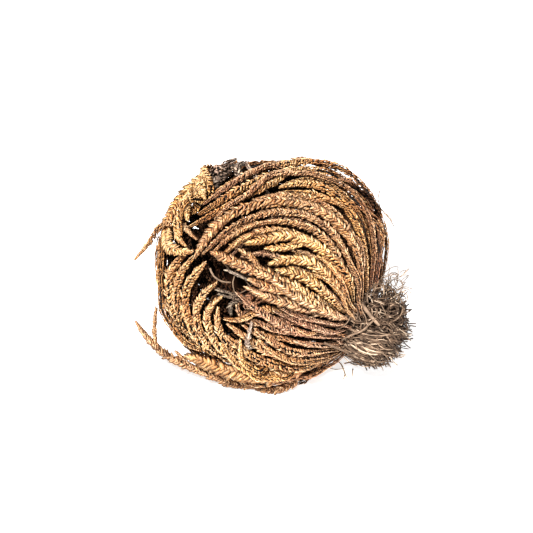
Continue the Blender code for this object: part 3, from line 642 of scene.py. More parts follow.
def keep_off_floor(bundle):
    lack = STEM_PRESSED * bundle.radius - FLOOR - bundle.points @ RISE
    bundle.points += np.maximum(lack, 0.0)[:, None] * RISE


print("samples inside the heart at first:", keep_out_of_heart(Bundle(cords), first_push))

# %% Even bends and firm ends
def even_out(bundle, values, share):
    """Blend each sample's value with those of its two neighbours on the stem."""
    total = values.copy()
    weight = np.ones(len(values))
    total[1:][bundle.linked] += share * values[:-1][bundle.linked]
    total[:-1][bundle.linked] += share * values[1:][bundle.linked]
    weight[1:][bundle.linked] += share
    weight[:-1][bundle.linked] += share
    return total / weight[:, None]


def keep_ends(bundle):
    """Main stems start square on the crown, and branches on the stem that they grow from."""
    for number, cord in enumerate(bundle.cords):
        first = bundle.start[number]
        if cord.parent is None:
            lead = unit(bundle.points[first] - CROWN)
            bundle.points[first] = CROWN + lead * (CROWN_RADIUS + GAP)
            bundle.points[first + 1] = CROWN + lead * (CROWN_RADIUS + GAP + CORD_STEP)
        else:
            bundle.points[first] = bundle.points[bundle.start[cord.parent] + cord.fork]


# %% Settle the strands of the solid model
SOLID_ROUNDS = 216
REFRESH = 12
PUSH = 1.1
STRAIGHTEN = 0.3
HOME_PULL = 0.004


def settle(bundle, rounds):
    """Push, straighten and hold the stems, round by round, and give each its new line."""
    for number in range(rounds):
        before = bundle.points[~bundle.free]
        if number % REFRESH == 0:
            a, b = neighbours(bundle)
        push = push_apart(bundle, a, b)
        keep_out_of_heart(bundle, push)
        keep_out_of_neck(bundle, push)
        keep_out_of_crown(bundle, push)
        push = even_out(bundle, even_out(bundle, push, 0.5), 0.5)
        bundle.points += PUSH * push
        straighter = even_out(bundle, bundle.points, 0.5)
        bundle.points[bundle.inner] += STRAIGHTEN * (straighter - bundle.points)[bundle.inner]
        bundle.points += HOME_PULL * (bundle.home - bundle.points)
        keep_off_floor(bundle)
        keep_ends(bundle)
        bundle.points[~bundle.free] = before
    for number, cord in enumerate(bundle.cords):
        cord.line = bundle.points[bundle.start[number]:bundle.start[number + 1]]


settle(Bundle(cords), SOLID_ROUNDS)
solid_cords = len(cords)
print("settled", solid_cords, "strands")

# %% [markdown]
# ## Finer strands between the main fronds
# Between the main fronds the real ball shows many thinner ones, a few dead grey bits, and through
# its gaps a second layer in the shade. The thin ones and the dead ones have routes of their own,
# each with a thickness and an age from 0, fresh and golden, to 1, old and brown; most of those deep
# in the ball or in its mouth get high ages, which darken them as painted shade. The second layer
# follows each main frond a little deeper and to one side, in near-black painted shade. All of them
# settle once more while the strands of the solid model stay where they are. A plain dark ball
# behind the gaps would be quicker, but it would show as a smooth wall.

# %% Finer strands
# Most of the strands that lie deep in the ball get high ages, which darken them as painted shade.
FINE_STRANDS = [
    (1.2, 0.8, [(34.5, -8, -3), (36, 4, -4), (35.2, 15, -4), (31.2, 25.2, -4.5), (26.2, 29.8, -4.5),
                (20, 33, -4), (13, 34.2, -3), (3, 32.6, -2), (-6, 29.4, -1), (-14, 25.6, -1),
                (-21, 20.5, -2)]),
    (1.1, 0.7, [(33.8, -6, -1), (34.8, 5, -1), (32.5, 15.5, -1), (27, 24, -1), (19, 29, -1),
                (10, 30.8, -1), (0, 28.6, -1), (-5, 25.5, -1), (-12, 20.5, -1), (-18, 16.6, -1.5)]),
    (1.2, 0.5, [(27, -8, -1), (26.5, -2, -0.5), (24.5, 4, -0.5), (20.8, 9, -1)]),
    (1.3, 0.2, [(25, -11, -0.5), (23.5, -5, 0), (20.5, 0, 0), (17.4, 4.4, -0.5)]),
    (1.2, 0.15, [(23, -13, -0.5), (19.5, -9, 0), (16.5, -4.8, 0), (12.5, -1.2, -0.3)]),
    (1.1, 0.7, [(30, -10, -0.5), (30.8, -3, -0.5), (30, 3, -1), (27.5, 9.5, -1.5)]),
    (1.1, 0.9, [(26, -19, -1), (20, -18.3, -0.6), (12, -16.6, -0.6), (8, -14.9, -0.6), (4, -12.4, -2)]),
    (1.2, 0.4, [(25, -21, -1), (18, -21.2, -0.4), (12, -20.4, -0.5), (8.5, -20.2, -0.5)]),
    (1.2, 0.3, [(22, -27, -2), (14, -28.8, -0.5), (6, -28.4, -0.5), (1, -25.5, -0.5), (-2, -22.5, -1)]),
    (1.2, 0.3, [(7, -30, 0, BACK), (-12, -30, 0, BACK), (-27, -23.5, -0.5), (-34, -13, -0.5),
                (-36.3, -3, -0.5), (-36.2, 5, -0.5), (-36.5, 12, -1)]),
    (1.5, 0.1, [(20, 0, 0, BACK), (4, 16, 0, BACK), (-12, 26, 0, BACK), (-22.5, 28.5, -1.5),
                (-27.5, 22.5, -1), (-30.7, 16, -0.8), (-31.5, 10, -0.8), (-28.5, 7.6, -1)]),
    (1.2, 0.5, [(18, -3, 0, BACK), (-6, 14, 0, BACK), (-26, 18, 0, BACK), (-31, 19.5, -2),
                (-28, 13, -2.5), (-25, 10, -3)]),
    (1.2, 0.4, [(16, -5, 0, BACK), (-8, 8, 0, BACK), (-29, 12, 0, BACK), (-37, 6, -1),
                (-37, 0, -1.5), (-34, -5, -2)]),
    (1.3, 0.9, [(17, -15, -3), (9, -11.5, -3.5), (1, -9.5, -4), (-4, -10, -5)]),
    (1.3, 0.9, [(19, -20, -3), (10, -17.5, -3.5), (2, -16, -3), (-3.5, -13.6, -3)]),
    (1.3, 0.8, [(18, -22, -3), (9, -21, -3), (2, -21.5, -2), (-3.5, -19, -1.5), (-8, -16.8, -1.5),
                (-12, -13, -2.5), (-13, -9, -4)]),
    (1.2, 0.5, [(18, -28, -3), (8, -27, -2), (0, -24.5, -1.5), (-5, -22, -1), (-8, -18, -1.5)]),
    (1.3, 0.85, [(34, -9, -1), (35.8, 2, -0.5), (36, 11, 0), (33.6, 19.5, 0.5), (28.5, 26, 1),
                 (22, 29.2, -1)]),
    (1.3, 0.0, [(12, -33.5, 0), (0, -34, 0.6), (-8, -32.5, 1), (-12.5, -28.6, 1.5), (-15.6, -24.6, 0.6)]),
    (1.3, 0.0, [(14, -32, 0), (3, -33, 0.5), (-4, -32.4, 1), (-8.6, -30.2, 1.5), (-9.4, -26.5, 1.2),
                (-9.8, -23.6, 0.2)]),
    (1.4, 0.3, [(-3, -14, -2), (-8, -16.5, -1), (-11.5, -17.5, -0.5), (-15, -16.8, -1)]),
    (1.5, 0.85, [(-2, -4, -6), (-7, -7.5, -5), (-10.6, -11.5, -4), (-8.6, -14.8, -3), (-5.5, -13.2, -3)]),
    (1.5, 0.1, [(-4, 30, 0, BACK), (-14, 29.5, -1, BACK), (-21, 28.4, -1), (-26.4, 23, 0),
                (-29, 17, 0.5), (-29.8, 11.5, 0)]),
    (1.3, 0.9, [(24, -2, -4), (19.5, 7, -4.5), (11, 13.5, -4.5), (2, 15, -4.5), (-7, 11, -5),
                (-12, 5, -6)]),
    (1.3, 0.9, [(21, -9, -4), (14, -2, -4.5), (5, 3.5, -4.5), (-3, 5.8, -5), (-9, 4, -6)]),
    (1.3, 0.9, [(24, -22, -4), (14, -17, -4.5), (5, -12.5, -5), (-3, -11.5, -5), (-9, -15, -5)]),
]
print("routes of finer strands:", len(FINE_STRANDS))

# %% Strands deep under the far side
DEEP_STRANDS = [
    [(18, 16, -5, BACK), (2, 29, -5, BACK), (-14, 30, -5, BACK), (-24, 24, -5, BACK),
     (-31, 15, -5, BACK), (-34.5, 4, -4.5, BACK), (-34, -6, -4.5, BACK)],
    [(18, 12, -5, BACK), (0, 25, -5.5, BACK), (-15, 26, -5.5, BACK), (-24.5, 18, -5.5, BACK),
     (-30, 9, -5.5, BACK), (-32, -2, -5.5, BACK)],
    [(18, 6, -5, BACK), (0, 21, -5.5, BACK), (-14, 21, -5.5, BACK), (-22, 14, -5.5, BACK),
     (-26.5, 6, -5.5, BACK), (-28, -4, -5.5, BACK)],
    [(24, 8, -5, BACK), (21, 22, -5, BACK), (10, 30.5, -5, BACK), (-4, 30, -5, BACK),
     (-12, 26, -5, BACK)],
    [(26, 2, -5, BACK), (26, 14, -5, BACK), (17, 25, -5, BACK), (6, 28, -5, BACK)],
    [(30, -4, -5, BACK), (32, 8, -5, BACK), (27, 18, -5, BACK), (20, 24, -5, BACK)],
    [(33, -8, -4, BACK), (36, 4, -4, BACK), (34.5, 15, -4, BACK), (29, 24, -4, BACK),
     (20, 30, -4, BACK)],
    [(31, -9, -4, BACK), (34, 0, -5, BACK), (33, 9, -5, BACK), (30, 17, -5, BACK), (24, 24, -5, BACK)],
]
print("routes of deep strands:", len(DEEP_STRANDS))

# %% Dead grey bits
# The tuft at the upper left, a bit near the bottom, and scraps in the mouth of the ball, which get high
# ages that darken them as painted shade
GREY_STRANDS = [
    (1.6, 0.0, [(-8, 24, 0, BACK), (-19, 26, 0, BACK), (-18, 30.6, 1), (-14.4, 34.0, 3),
                (-11.6, 36.2, 3.6)]),
    (1.6, 0.1, [(-18, 27, -1), (-15.4, 30.2, 2), (-12, 33.5, 4), (-9.2, 35.6, 4.4)]),
    (1.4, 0.1, [(-14, 27, -2), (-12.4, 30.4, 1), (-10, 33.2, 3), (-7.8, 34.6, 3.6)]),
    (1.2, 0.3, [(-12, -26.5, -3), (-8.5, -24.6, -0.5), (-7, -22, 0.8), (-6.2, -18.4, 0.6)]),
    (1.1, 0.5, [(-18, 1.6, -4), (-16, 0.4, -2.5), (-13.8, -0.6, -2.2)]),
    (1.1, 0.5, [(-14.4, 0, -3), (-12, -1.8, -2), (-9.8, -3, -2.2)]),
    (1.0, 0.9, [(-22.4, -9.2, -4.5), (-19.8, -7.6, -3.8), (-17.6, -6.2, -3.8)]),
    (1.0, 0.8, [(-21.4, -11.6, -4.5), (-18.8, -10.2, -3.8), (-16.4, -9.6, -3.8)]),
    (1.6, 0.85, [(-8.8, -6.0, -4), (-12.2, -6.8, -3.4), (-14.4, -9.2, -3), (-14.4, -12.4, -2.8),
                (-12.6, -14.8, -2.8)]),
]
print("routes of dead bits:", len(GREY_STRANDS))

# %% Strands along these routes
FINE_SLIM = 30.0
GREY_SLIM = 12.0
DEEP_THICK = 1.5
DEEP_SLIM = 20.0


def add_strands(name, shapes, slim, rooted=True):
    """Strands of one kind, each with its thickness, its age and its route over the ball."""
    for thick, age, route in shapes:
        places = [on_ball(*place) for place in route]
        line = smooth_route(from_crown(places) if rooted else places)
        cords.append(Cord(name, line, STOUT * thick, slim))
        cords[-1].age = age


add_strands("fine", FINE_STRANDS, FINE_SLIM)
add_strands("grey", GREY_STRANDS, GREY_SLIM, rooted=False)
add_strands("under", [(DEEP_THICK, None, route) for route in DEEP_STRANDS], DEEP_SLIM)
print("finer strands:", len(cords) - solid_cords)

# %% A strand under each main one
STRAYS = ("left_stray", "low_stray", "feather", "grey_tip", "hook")
DEEPER = 5.2
ASIDE = 2.3
UNDER_THICK = 1.6
UNDER_SLIM = 20.0


def under_cords():
    """A strand a little deeper than each main one, and to one side of it."""
    mains = [c for c in cords[:solid_cords] if c.parent is None and c.name not in STRAYS]
    for number, cord in enumerate(mains):
        places = cord.line[5:-2:4]
        if len(places) < 3:
            continue
        forward = unit(np.gradient(places, axis=0))
        outward = unit(places - forward * np.sum(places * forward, axis=1)[:, None])
        aside = np.cross(forward, outward) * ASIDE * (1 if number % 2 else -1)
        route = from_crown(list(places - DEEPER * outward + aside))
        cords.append(Cord("under", smooth_route(route), UNDER_THICK, UNDER_SLIM))


under_cords()
print("strands with the second layer:", len(cords))

# %% Strands round the heart
INNER_STRANDS = 34
INNER_SHARE = 0.74
INNER_FIRST, INNER_LAST = math.radians(26), math.radians(172)
INNER_PLACES = 9
INNER_SWAY = 0.25
BALL_HALF = np.array([HALF_WIDE, HALF_HIGH, HALF_DEEP])


def inner_cords():
    """Strands from the crown round the heart, which close the ball from the inside."""
    pole = unit(CROWN)
    crest = unit(np.array([0.0, 1.0, 0.0]) - pole * pole[1])
    side = np.cross(pole, crest)
    for number in range(INNER_STRANDS):
        turn = 2 * math.pi * number / INNER_STRANDS
        route = []
        for reach in np.linspace(INNER_FIRST, INNER_LAST, INNER_PLACES):
            swing = turn + INNER_SWAY * math.sin(2 * reach + number)
            way = pole * math.cos(reach)
            way = way + (crest * math.cos(swing) + side * math.sin(swing)) * math.sin(reach)
            route.append(way / np.linalg.norm(way / (INNER_SHARE * BALL_HALF)))
        cords.append(Cord("inner", smooth_route(from_crown(route)), UNDER_THICK, UNDER_SLIM))


inner_cords()
print("strands in all:", len(cords))

# %% Settle once more
LATER_ROUNDS = 48

settle(Bundle(cords, fixed=solid_cords), LATER_ROUNDS)
print("settled", len(cords) - solid_cords, "more strands round the", solid_cords, "of the solid model")

# %% [markdown]
# ## One scale leaf
# The leaves are scales about 2 mm long, thick at the keel and thin at the rim. Modelled by hand,
# one starts as a low six-sided cone, is squeezed to a pointed oval with a broad foot, and gets a
# hollow underside and a tip that bends down. It could be sculpted with far more faces, but it is
# copied tens of thousands of times, so it has twelve, and the leaves that are seen less have eight.

# %% Pick corners by their place
def pick(obj, test):
    """Select the corners of a mesh whose place passes a test, and go to edit mode."""
    bpy.ops.object.mode_set(mode="OBJECT")
    obj.data.edges.foreach_set("select", np.zeros(len(obj.data.edges), bool))
    obj.data.polygons.foreach_set("select", np.zeros(len(obj.data.polygons), bool))
    for vertex in obj.data.vertices:
        vertex.select = bool(test(vertex.co))
    bpy.ops.object.mode_set(mode="EDIT")
    bpy.ops.mesh.select_mode(type="VERT")


print("helper to pick corners is ready:", pick.__name__)

# %% Model the leaf
LEAF_WIDE = 0.46
LEAF_DEEP = 0.15


def model_leaf(sides):
    """A closed scale from x = 0 to 1, its rim in the plane z = 0 and its keel upward."""
    deselect_all()
    bpy.ops.mesh.primitive_cone_add(vertices=sides, radius1=0.5, radius2=0.0, depth=LEAF_DEEP,
                                    end_fill_type="TRIFAN", location=(0.5, 0.0, 0.5 * LEAF_DEEP),
                                    rotation=(0.0, 0.0, math.radians(90.0)))
    leaf = bpy.context.object
    bpy.ops.object.transform_apply(location=True, rotation=True, scale=True)
    bpy.ops.object.mode_set(mode="EDIT")
    bpy.ops.mesh.select_all(action="SELECT")
    bpy.ops.transform.resize(value=(1.0, LEAF_WIDE, 1.0), center_override=(0.5, 0.0, 0.0))
    pick(leaf, lambda co: 0.6 < co.x < 0.9)
    bpy.ops.transform.resize(value=(1.0, 0.90, 1.0), center_override=(0.75, 0.0, 0.0))
    pick(leaf, lambda co: 0.1 < co.x < 0.4)
    bpy.ops.transform.translate(value=(-0.11, 0.0, 0.0))
    bpy.ops.transform.resize(value=(1.0, 1.10, 1.0), center_override=(0.14, 0.0, 0.0))
    pick(leaf, lambda co: 0.4 < co.x < 0.6 and abs(co.y) > 0.1)
    bpy.ops.transform.translate(value=(-0.08, 0.0, 0.0))
    pick(leaf, lambda co: co.x > 0.95)
    bpy.ops.transform.translate(value=(0.02, 0.0, -0.04))
    pick(leaf, lambda co: co.z > 0.9 * LEAF_DEEP)
    bpy.ops.transform.translate(value=(-0.10, 0.0, 0.0))
    pick(leaf, lambda co: abs(co.x - 0.5) < 0.01 and co.z < 0.1 * LEAF_DEEP)
    bpy.ops.transform.translate(value=(0.0, 0.0, 0.5 * LEAF_DEEP))
    bpy.ops.object.mode_set(mode="OBJECT")
    return leaf


example = model_leaf(6)
print("one leaf:", len(example.data.vertices), "corners, box", [round(v, 2) for v in example.dimensions])
bpy.data.objects.remove(example)

# %% Keep its corners, its faces and how pale it is
class Leaf:
    """Corners and faces of a modelled leaf, and how pale each corner is on either side, painted highlight
    and painted shade included.
    """

    def __init__(self, sides):
        model = model_leaf(sides)
        self.points = np.array([vertex.co for vertex in model.data.vertices])
        self.faces = np.array([list(face.vertices) for face in model.data.polygons])
        bpy.data.objects.remove(model)
        half = 0.5 * LEAF_WIDE
        # How pale each corner is: the raised free edge and the tip are pale, partly as the leaf's real pale
        # rim and partly as painted highlight, and the foot and the edge that lies under the neighbour are
        # dark, as painted shade.
        self.shade = 0.46 + 0.26 * self.points[:, 0] + 0.42 * self.points[:, 1] / half
        self.shade[self.points[:, 0] < 0.05] = 0.30
        self.other = self.shade - 0.84 * self.points[:, 1] / half
        self.shade, self.other = np.clip(self.shade, 0, 1), np.clip(self.other, 0, 1)


FULL_LEAF = Leaf(6)
PLAIN_LEAF = Leaf(4)
print("leaf faces:", len(FULL_LEAF.faces), "and, where it is seen less,", len(PLAIN_LEAF.faces))

# %% [markdown]
# ## Rows of leaves along a stem
# Each stem has six rows. The two upper ones make the plait that the eye sees: a leaf's foot stands
# a little past the middle line and its tip points out to the other side, so the feet cross each
# other. Two rows of smaller leaves stand under them at the sides, and two more cover the
# underside. A leaf's frame is the stem's own direction, the way out from the ball and the way
# across. Small differences between leaves, a slow roll of the stem and a few missing leaves keep
# the rows from looking stamped. An array modifier along a curve would be quicker to set up, but it
# can neither vary its copies nor thin them out towards the tip.

# %% The rows
LEAF_PITCH = 0.95
USUAL_THICK = 1.75
# a row's turn round the stem at the leaf's foot and how far out that is in stem radii, the turn
# that its leaves point to, their sweep off the stem, length, width and shift in pitches
TOP_ROWS = [
    (-13, 0.60, 106, 44, 2.50, 0.95, 0.0), (13, 0.60, -106, 44, 2.50, 0.95, 0.5),
    (66, 0.32, 98, 36, 1.85, 1.05, 0.3), (-66, 0.32, -98, 36, 1.85, 1.05, 0.8),
]
LOW_ROWS = [
    (140, 0.30, 118, 32, 1.90, 1.35, 0.1), (-140, 0.30, -118, 32, 1.90, 1.35, 0.6),
]
print("rows of leaves on a stem:", len(TOP_ROWS) + len(LOW_ROWS))

# %% Directions along a strand
FACING = np.array([0.0, 0.45, 0.89])
LOOK_ROUND = 0.8


def along_line(cord, places):
    """Places along a strand, with its directions forward, outward and sideways there.

    Outward is away from the middle of the ball, and towards the viewer on the strays.
    """
    line, along = cord.line, arc_length(cord.line)

    def at(distances):
        distances = np.clip(distances, 0.0, along[-1])
        return np.stack([np.interp(distances, along, line[:, k]) for k in range(3)], axis=1)

    point = at(places)
    forward = unit(at(places + LOOK_ROUND) - at(places - LOOK_ROUND))
    away = unit(point)
    if cord.name in STRAYS:
        away = unit(0.35 * away + FACING)
    outward = unit(away - forward * np.sum(away * forward, axis=1)[:, None])
    return point, forward, outward, np.cross(forward, outward)


print("outward in the middle of the first strand:", along_line(cords[0], np.array([30.0]))[2].round(2))

# %% Steps along a strand
STEP_LEAST, STEP_MOST = 0.75, 1.05
BARE_TIP = 0.3


def leaf_steps(along, radius, pitch):
    """Distances along a stem of its leaf steps, closer together where the stem is thin."""
    steps = [0.5 * pitch]
    while steps[-1] < along[-1] - BARE_TIP:
        here = np.interp(steps[-1], along, radius)
        steps.append(steps[-1] + pitch * min(max(here / USUAL_THICK, STEP_LEAST), STEP_MOST))
    return np.array(steps[:-1])


first_steps = leaf_steps(arc_length(cords[0].line), cords[0].radius, LEAF_PITCH)
print("leaf steps on the first strand:", len(first_steps))

# %% How the leaves of a row stand
MISSING = 0.02
WORN_WITHIN = 30.0
TIP_CLOSES = 5.0
SLIM_LEAST = 0.6
AIM_IN, AIM_SPREAD = 4, 13
SWEEP_SPREAD = 8
NORMAL_SHARE = 0.35
TWIST, TWIST_SPREAD = 18, 11


def stand_of_leaves(row, roll, thick, tip, worn, ways, rng):
    """The way out at each leaf's foot, and its own directions: axis, across and normal."""
    turn, foot, aim, sweep, long, wide, shift = row
    forward, outward, side = ways
    count = len(roll)
    right = 1 if aim > 0 else -1

    def round_stem(angle):
        return outward * np.cos(angle) + side * np.sin(angle)

    radial = round_stem(np.radians(turn) + roll)
    aims = round_stem(np.radians(aim + rng.normal(-AIM_IN * right, AIM_SPREAD, (count, 1))) + roll)
    slim = np.clip(thick / USUAL_THICK, SLIM_LEAST, 1.0)
    spread = np.radians(sweep * slim + rng.normal(0, SWEEP_SPREAD, (count, 1)))
    spread = spread * (0.35 + 0.65 * tip) * (1.0 - 0.5 * worn)
    axis = unit(forward * np.cos(spread) + aims * np.sin(spread))
    normal = round_stem(np.radians(NORMAL_SHARE * aim) + roll)
    normal = unit(normal - axis * np.sum(axis * normal, axis=1)[:, None])
    across = np.cross(normal, axis)
    twist = np.radians(rng.normal(TWIST * right, TWIST_SPREAD, (count, 1)))
    normal, across = (normal * np.cos(twist) + across * np.sin(twist),
                      across * np.cos(twist) - normal * np.sin(twist))
    return radial, axis, across, normal


print("leaves that are missing, of a hundred:", round(100 * MISSING))

# %% One row of leaves
SIZE_LEAST, SIZE_MOST = 0.58, 1.12
SIZE_SPREAD = 0.13
WORN_SMALLER = 0.4


def row_of_leaves(cord, row, steps, roll, leaf, scale, rng):
    """Corners of one row of leaves, how worn each leaf is, and the paleness of its corners."""
    turn, foot, aim, sweep, long, wide, shift = row
    along = arc_length(cord.line)
    places = steps + shift * LEAF_PITCH
    keep = rng.random(len(steps)) > MISSING
    places, roll = places[keep], roll[keep][:, None]
    thick = np.interp(places, along, cord.radius)[:, None]
    point, *ways = along_line(cord, places)
    tip = np.clip((along[-1] - places) / TIP_CLOSES, 0.0, 1.0)[:, None]
    worn = np.clip(1.0 - np.linalg.norm(point - CROWN, axis=1) / WORN_WITHIN, 0.0, 1.0)[:, None]
    radial, axis, across, normal = stand_of_leaves(row, roll, thick, tip, worn, ways, rng)
    size = np.clip(thick / USUAL_THICK, SIZE_LEAST, SIZE_MOST)
    size = size * rng.normal(1.0, SIZE_SPREAD, (len(places), 1))
    size = size * scale * (1.0 - WORN_SMALLER * worn)
    start = (point + radial * foot * thick)[:, None]
    reaches = [(axis, long), (across, wide / LEAF_WIDE), (normal, long)]
    corners = start + sum(way[:, None] * (leaf.points[None, :, k:k + 1] * (size * reach)[:, None])
                          for k, (way, reach) in enumerate(reaches))
    return corners.reshape(-1, 3), worn[:, 0], leaf.shade if aim > 0 else leaf.other


one_row = row_of_leaves(cords[0], TOP_ROWS[0], first_steps, np.zeros(len(first_steps)), FULL_LEAF, 1.0,
                        np.random.default_rng(0))
print("corners of one row on the first strand:", len(one_row[0]))

# %% All leaves of a strand
ROLL_START = math.radians(12)
ROLL_WAVE = math.radians(16)
AGE_BY_WEAR = 0.45
AGE_SPREAD = 0.07
# how much larger or smaller the leaves of a frond are than usual
WIDER = {
    "hook": 1.1, "feather": 1.45, "golden_arch": 1.05, "mouth_long": 1.0, "grey_tip": 1.15,
    "crest_outer": 0.85, "crest_second": 0.82, "crest_third": 0.85, "crest_fourth": 0.88,
    "arch_outer": 0.9, "arch_low": 0.9, "arch_inner": 0.95, "low_one": 0.85, "low_two": 0.88,
    "low_three": 0.88, "low_four": 0.9, "pale_two": 0.95, "lap_one": 0.9, "lap_two": 0.92,
    "lap_three": 0.92, "side_one": 0.9, "side_two": 0.9, "side_three": 0.92, "side_four": 0.92,
    "side_five": 0.92, "fine": 0.95,
}


def leaves_on(cord, age, rows, leaf, pitch, rng):
    """Corners and faces of rows of leaves on a strand, and three numbers for their colour."""
    along = arc_length(cord.line)
    steps = leaf_steps(along, cord.radius, pitch)
    wave = steps * 2 * math.pi / rng.uniform(28, 60) + rng.uniform(0, 6.3)
    roll = rng.uniform(-ROLL_START, ROLL_START) + ROLL_WAVE * np.sin(wave)
    corners, faces, shades, chances, ages = [], [], [], [], []
    for row in rows:
        scale = WIDER.get(cord.name, 1.0)
        row_corners, worn, shade = row_of_leaves(cord, row, steps, roll, leaf, scale, rng)
        count = len(worn)
        size = len(leaf.points)
        first = sum(len(part) for part in corners)
        firsts = first + size * np.arange(count)
        faces.append((leaf.faces[None] + firsts[:, None, None]).reshape(-1, 3))
        corners.append(row_corners)
        shades.append(np.tile(shade, count))
        chances.append(np.repeat(rng.random(count), size))
        its_age = age + AGE_BY_WEAR * worn + rng.normal(0, AGE_SPREAD, count)
        ages.append(np.repeat(np.clip(its_age, 0, 1), size))
    return [np.concatenate(part) for part in (corners, faces, shades, chances, ages)]


first_leaves = leaves_on(cords[0], 0.5, TOP_ROWS, FULL_LEAF, LEAF_PITCH, np.random.default_rng(0))
print("faces of the leaves on the first strand:", len(first_leaves[1]))

# %% [markdown]
# ## From numbers to a piece
# The leaves' corners and faces are only numbers so far. Each piece gets its own mesh from them in
# one go, with three numbers on each corner for the material to read, and thin tubes as the stems
# that the leaves sit on. Duplicating the modelled leaf by an operator would do the same, but tens
# of thousands of objects take many minutes to join.

# %% A mesh from corners and faces
def closed_mesh(name, corners, faces):
    """A mesh object from world places in metres and triangles."""
    mesh = bpy.data.meshes.new(name)
    mesh.vertices.add(len(corners))
    mesh.vertices.foreach_set("co", corners.astype(np.float32).ravel())
    mesh.loops.add(faces.size)
    mesh.loops.foreach_set("vertex_index", faces.astype(np.int32).ravel())
    mesh.polygons.add(len(faces))
    mesh.polygons.foreach_set("loop_start", np.arange(0, faces.size, 3, dtype=np.int32))
    mesh.update(calc_edges=True)
    obj = bpy.data.objects.new(name, mesh)
    bpy.context.scene.collection.objects.link(obj)
    return obj


def write_numbers(obj, name, values):
    """Keep one number for each corner on a mesh, for its material to read."""
    layer = obj.data.attributes.new(name, "FLOAT", "POINT")
    layer.data.foreach_set("value", values.astype(np.float32))


def join_to(main, *others):
    """Join pieces to the main one, which keeps its name."""
    deselect_all()
    for part in (main, *others):
        part.select_set(True)
    bpy.context.view_layer.objects.active = main
    bpy.ops.object.join()


example = closed_mesh("example", np.eye(3), np.array([[0, 1, 2]]))
print("a mesh from numbers has", len(example.data.polygons), "face and", len(example.data.edges), "edges")
bpy.data.objects.remove(example)

# %% Tubes along lines
# corners round each sample of a tube, and the corners that its two end faces add
TUBE_SIDES = 4
CAP_CORNERS = 8


def tubes(name, lines, radii, tones=None):
    """Thin tubes along lines, as one mesh, with a number for each tube's tone if given."""
    curve = bpy.data.curves.new(name, "CURVE")
    curve.dimensions = "3D"
    curve.bevel_depth = MM
    curve.bevel_resolution = 0
    curve.use_fill_caps = True
    for line, radius in zip(lines, radii):
        spline = curve.splines.new("POLY")
        spline.points.add(len(line) - 1)
        places = np.hstack([to_world(line), np.ones((len(line), 1))])
        spline.points.foreach_set("co", places.ravel())
        spline.points.foreach_set("radius", radius)
    obj = bpy.data.objects.new(name, curve)
    bpy.context.scene.collection.objects.link(obj)
    deselect_all()
    obj.select_set(True)
    bpy.context.view_layer.objects.active = obj
    bpy.ops.object.convert(target="MESH")
    made = bpy.context.object
    if tones:
        values = [np.full(TUBE_SIDES * len(line) + CAP_CORNERS, tone) for line, tone in zip(lines, tones)]
        write_numbers(made, "leaf_chance", np.concatenate(values))
    bpy.ops.object.mode_set(mode="EDIT")
    bpy.ops.mesh.select_all(action="SELECT")
    bpy.ops.mesh.remove_doubles(threshold=0.002 * MM)
    bpy.ops.object.mode_set(mode="OBJECT")
    return made


example = tubes("example", [np.array([[0.0, 0, 0], [5, 0, 0]])], [np.ones(2)])
print("a tube of two samples has", len(example.data.polygons), "faces, with its ends merged")
bpy.data.objects.remove(example)

# %% One leafy piece
STEM_SHARE = 0.32
LEAF_PRESSED = 0.03


def leafy_piece(name, strands, age, seed, pitch=LEAF_PITCH, low=True, leaf=FULL_LEAF):
    """One piece: the leaves of some strands, joined with their stems.

    Leaves that would reach below the table are pressed flat on it.
    """
    rng = np.random.default_rng(seed)
    parts, first = [], 0
    for number, strand in enumerate(strands):
        its_age = age[number] if isinstance(age, list) else age
        made = [leaves_on(strand, its_age, TOP_ROWS, leaf, pitch, rng)]
        if low:
            made.append(leaves_on(strand, its_age, LOW_ROWS, PLAIN_LEAF, pitch, rng))
        for part in made:
            part[1] = part[1] + first
            first += len(part[0])
            parts.append(part)
    corners, faces, shades, chances, ages = [np.concatenate(part) for part in zip(*parts)]
    places = to_world(corners)
    places[:, 2] = np.where(places[:, 2] < 0.0, LEAF_PRESSED * places[:, 2], places[:, 2])
    piece = closed_mesh(name, places, faces)
    write_numbers(piece, "leaf_paleness_and_painted_light", shades)
    write_numbers(piece, "leaf_chance", chances)
    write_numbers(piece, "frond_age", ages)
    lines = [strand.line for strand in strands]
    # The stems carry none of the leaves' numbers, so they take the darkest leaf colour: painted shade
    # between the leaves.
    stems = tubes(name + "_stems", lines, [STEM_SHARE * strand.radius for strand in strands])
    join_to(piece, stems)
    return piece


print("a stem inside the leaves is", STEM_SHARE, "of its strand's radius")

# %% [markdown]
# ## The finish of the leaves
# Up close a dry leaf is straw coloured at its tip and along its thin free edge, and orange brown in
# the middle. Its free edge, which stands raised, is made paler still as painted highlight, and its
# foot and the edge that goes under its neighbour are made dark as painted shade. Old fronds, and
# every frond near the crown, turn mauve brown. The colours come from three numbers kept on each
# corner of the mesh: where on the leaf it is, with that painted light, a chance for each leaf, and
# the frond's age. Fine noise on Object coordinates adds flecks, and a bump the papery skin. A
# picture wrapped round the ball would smear across the gaps between leaves.

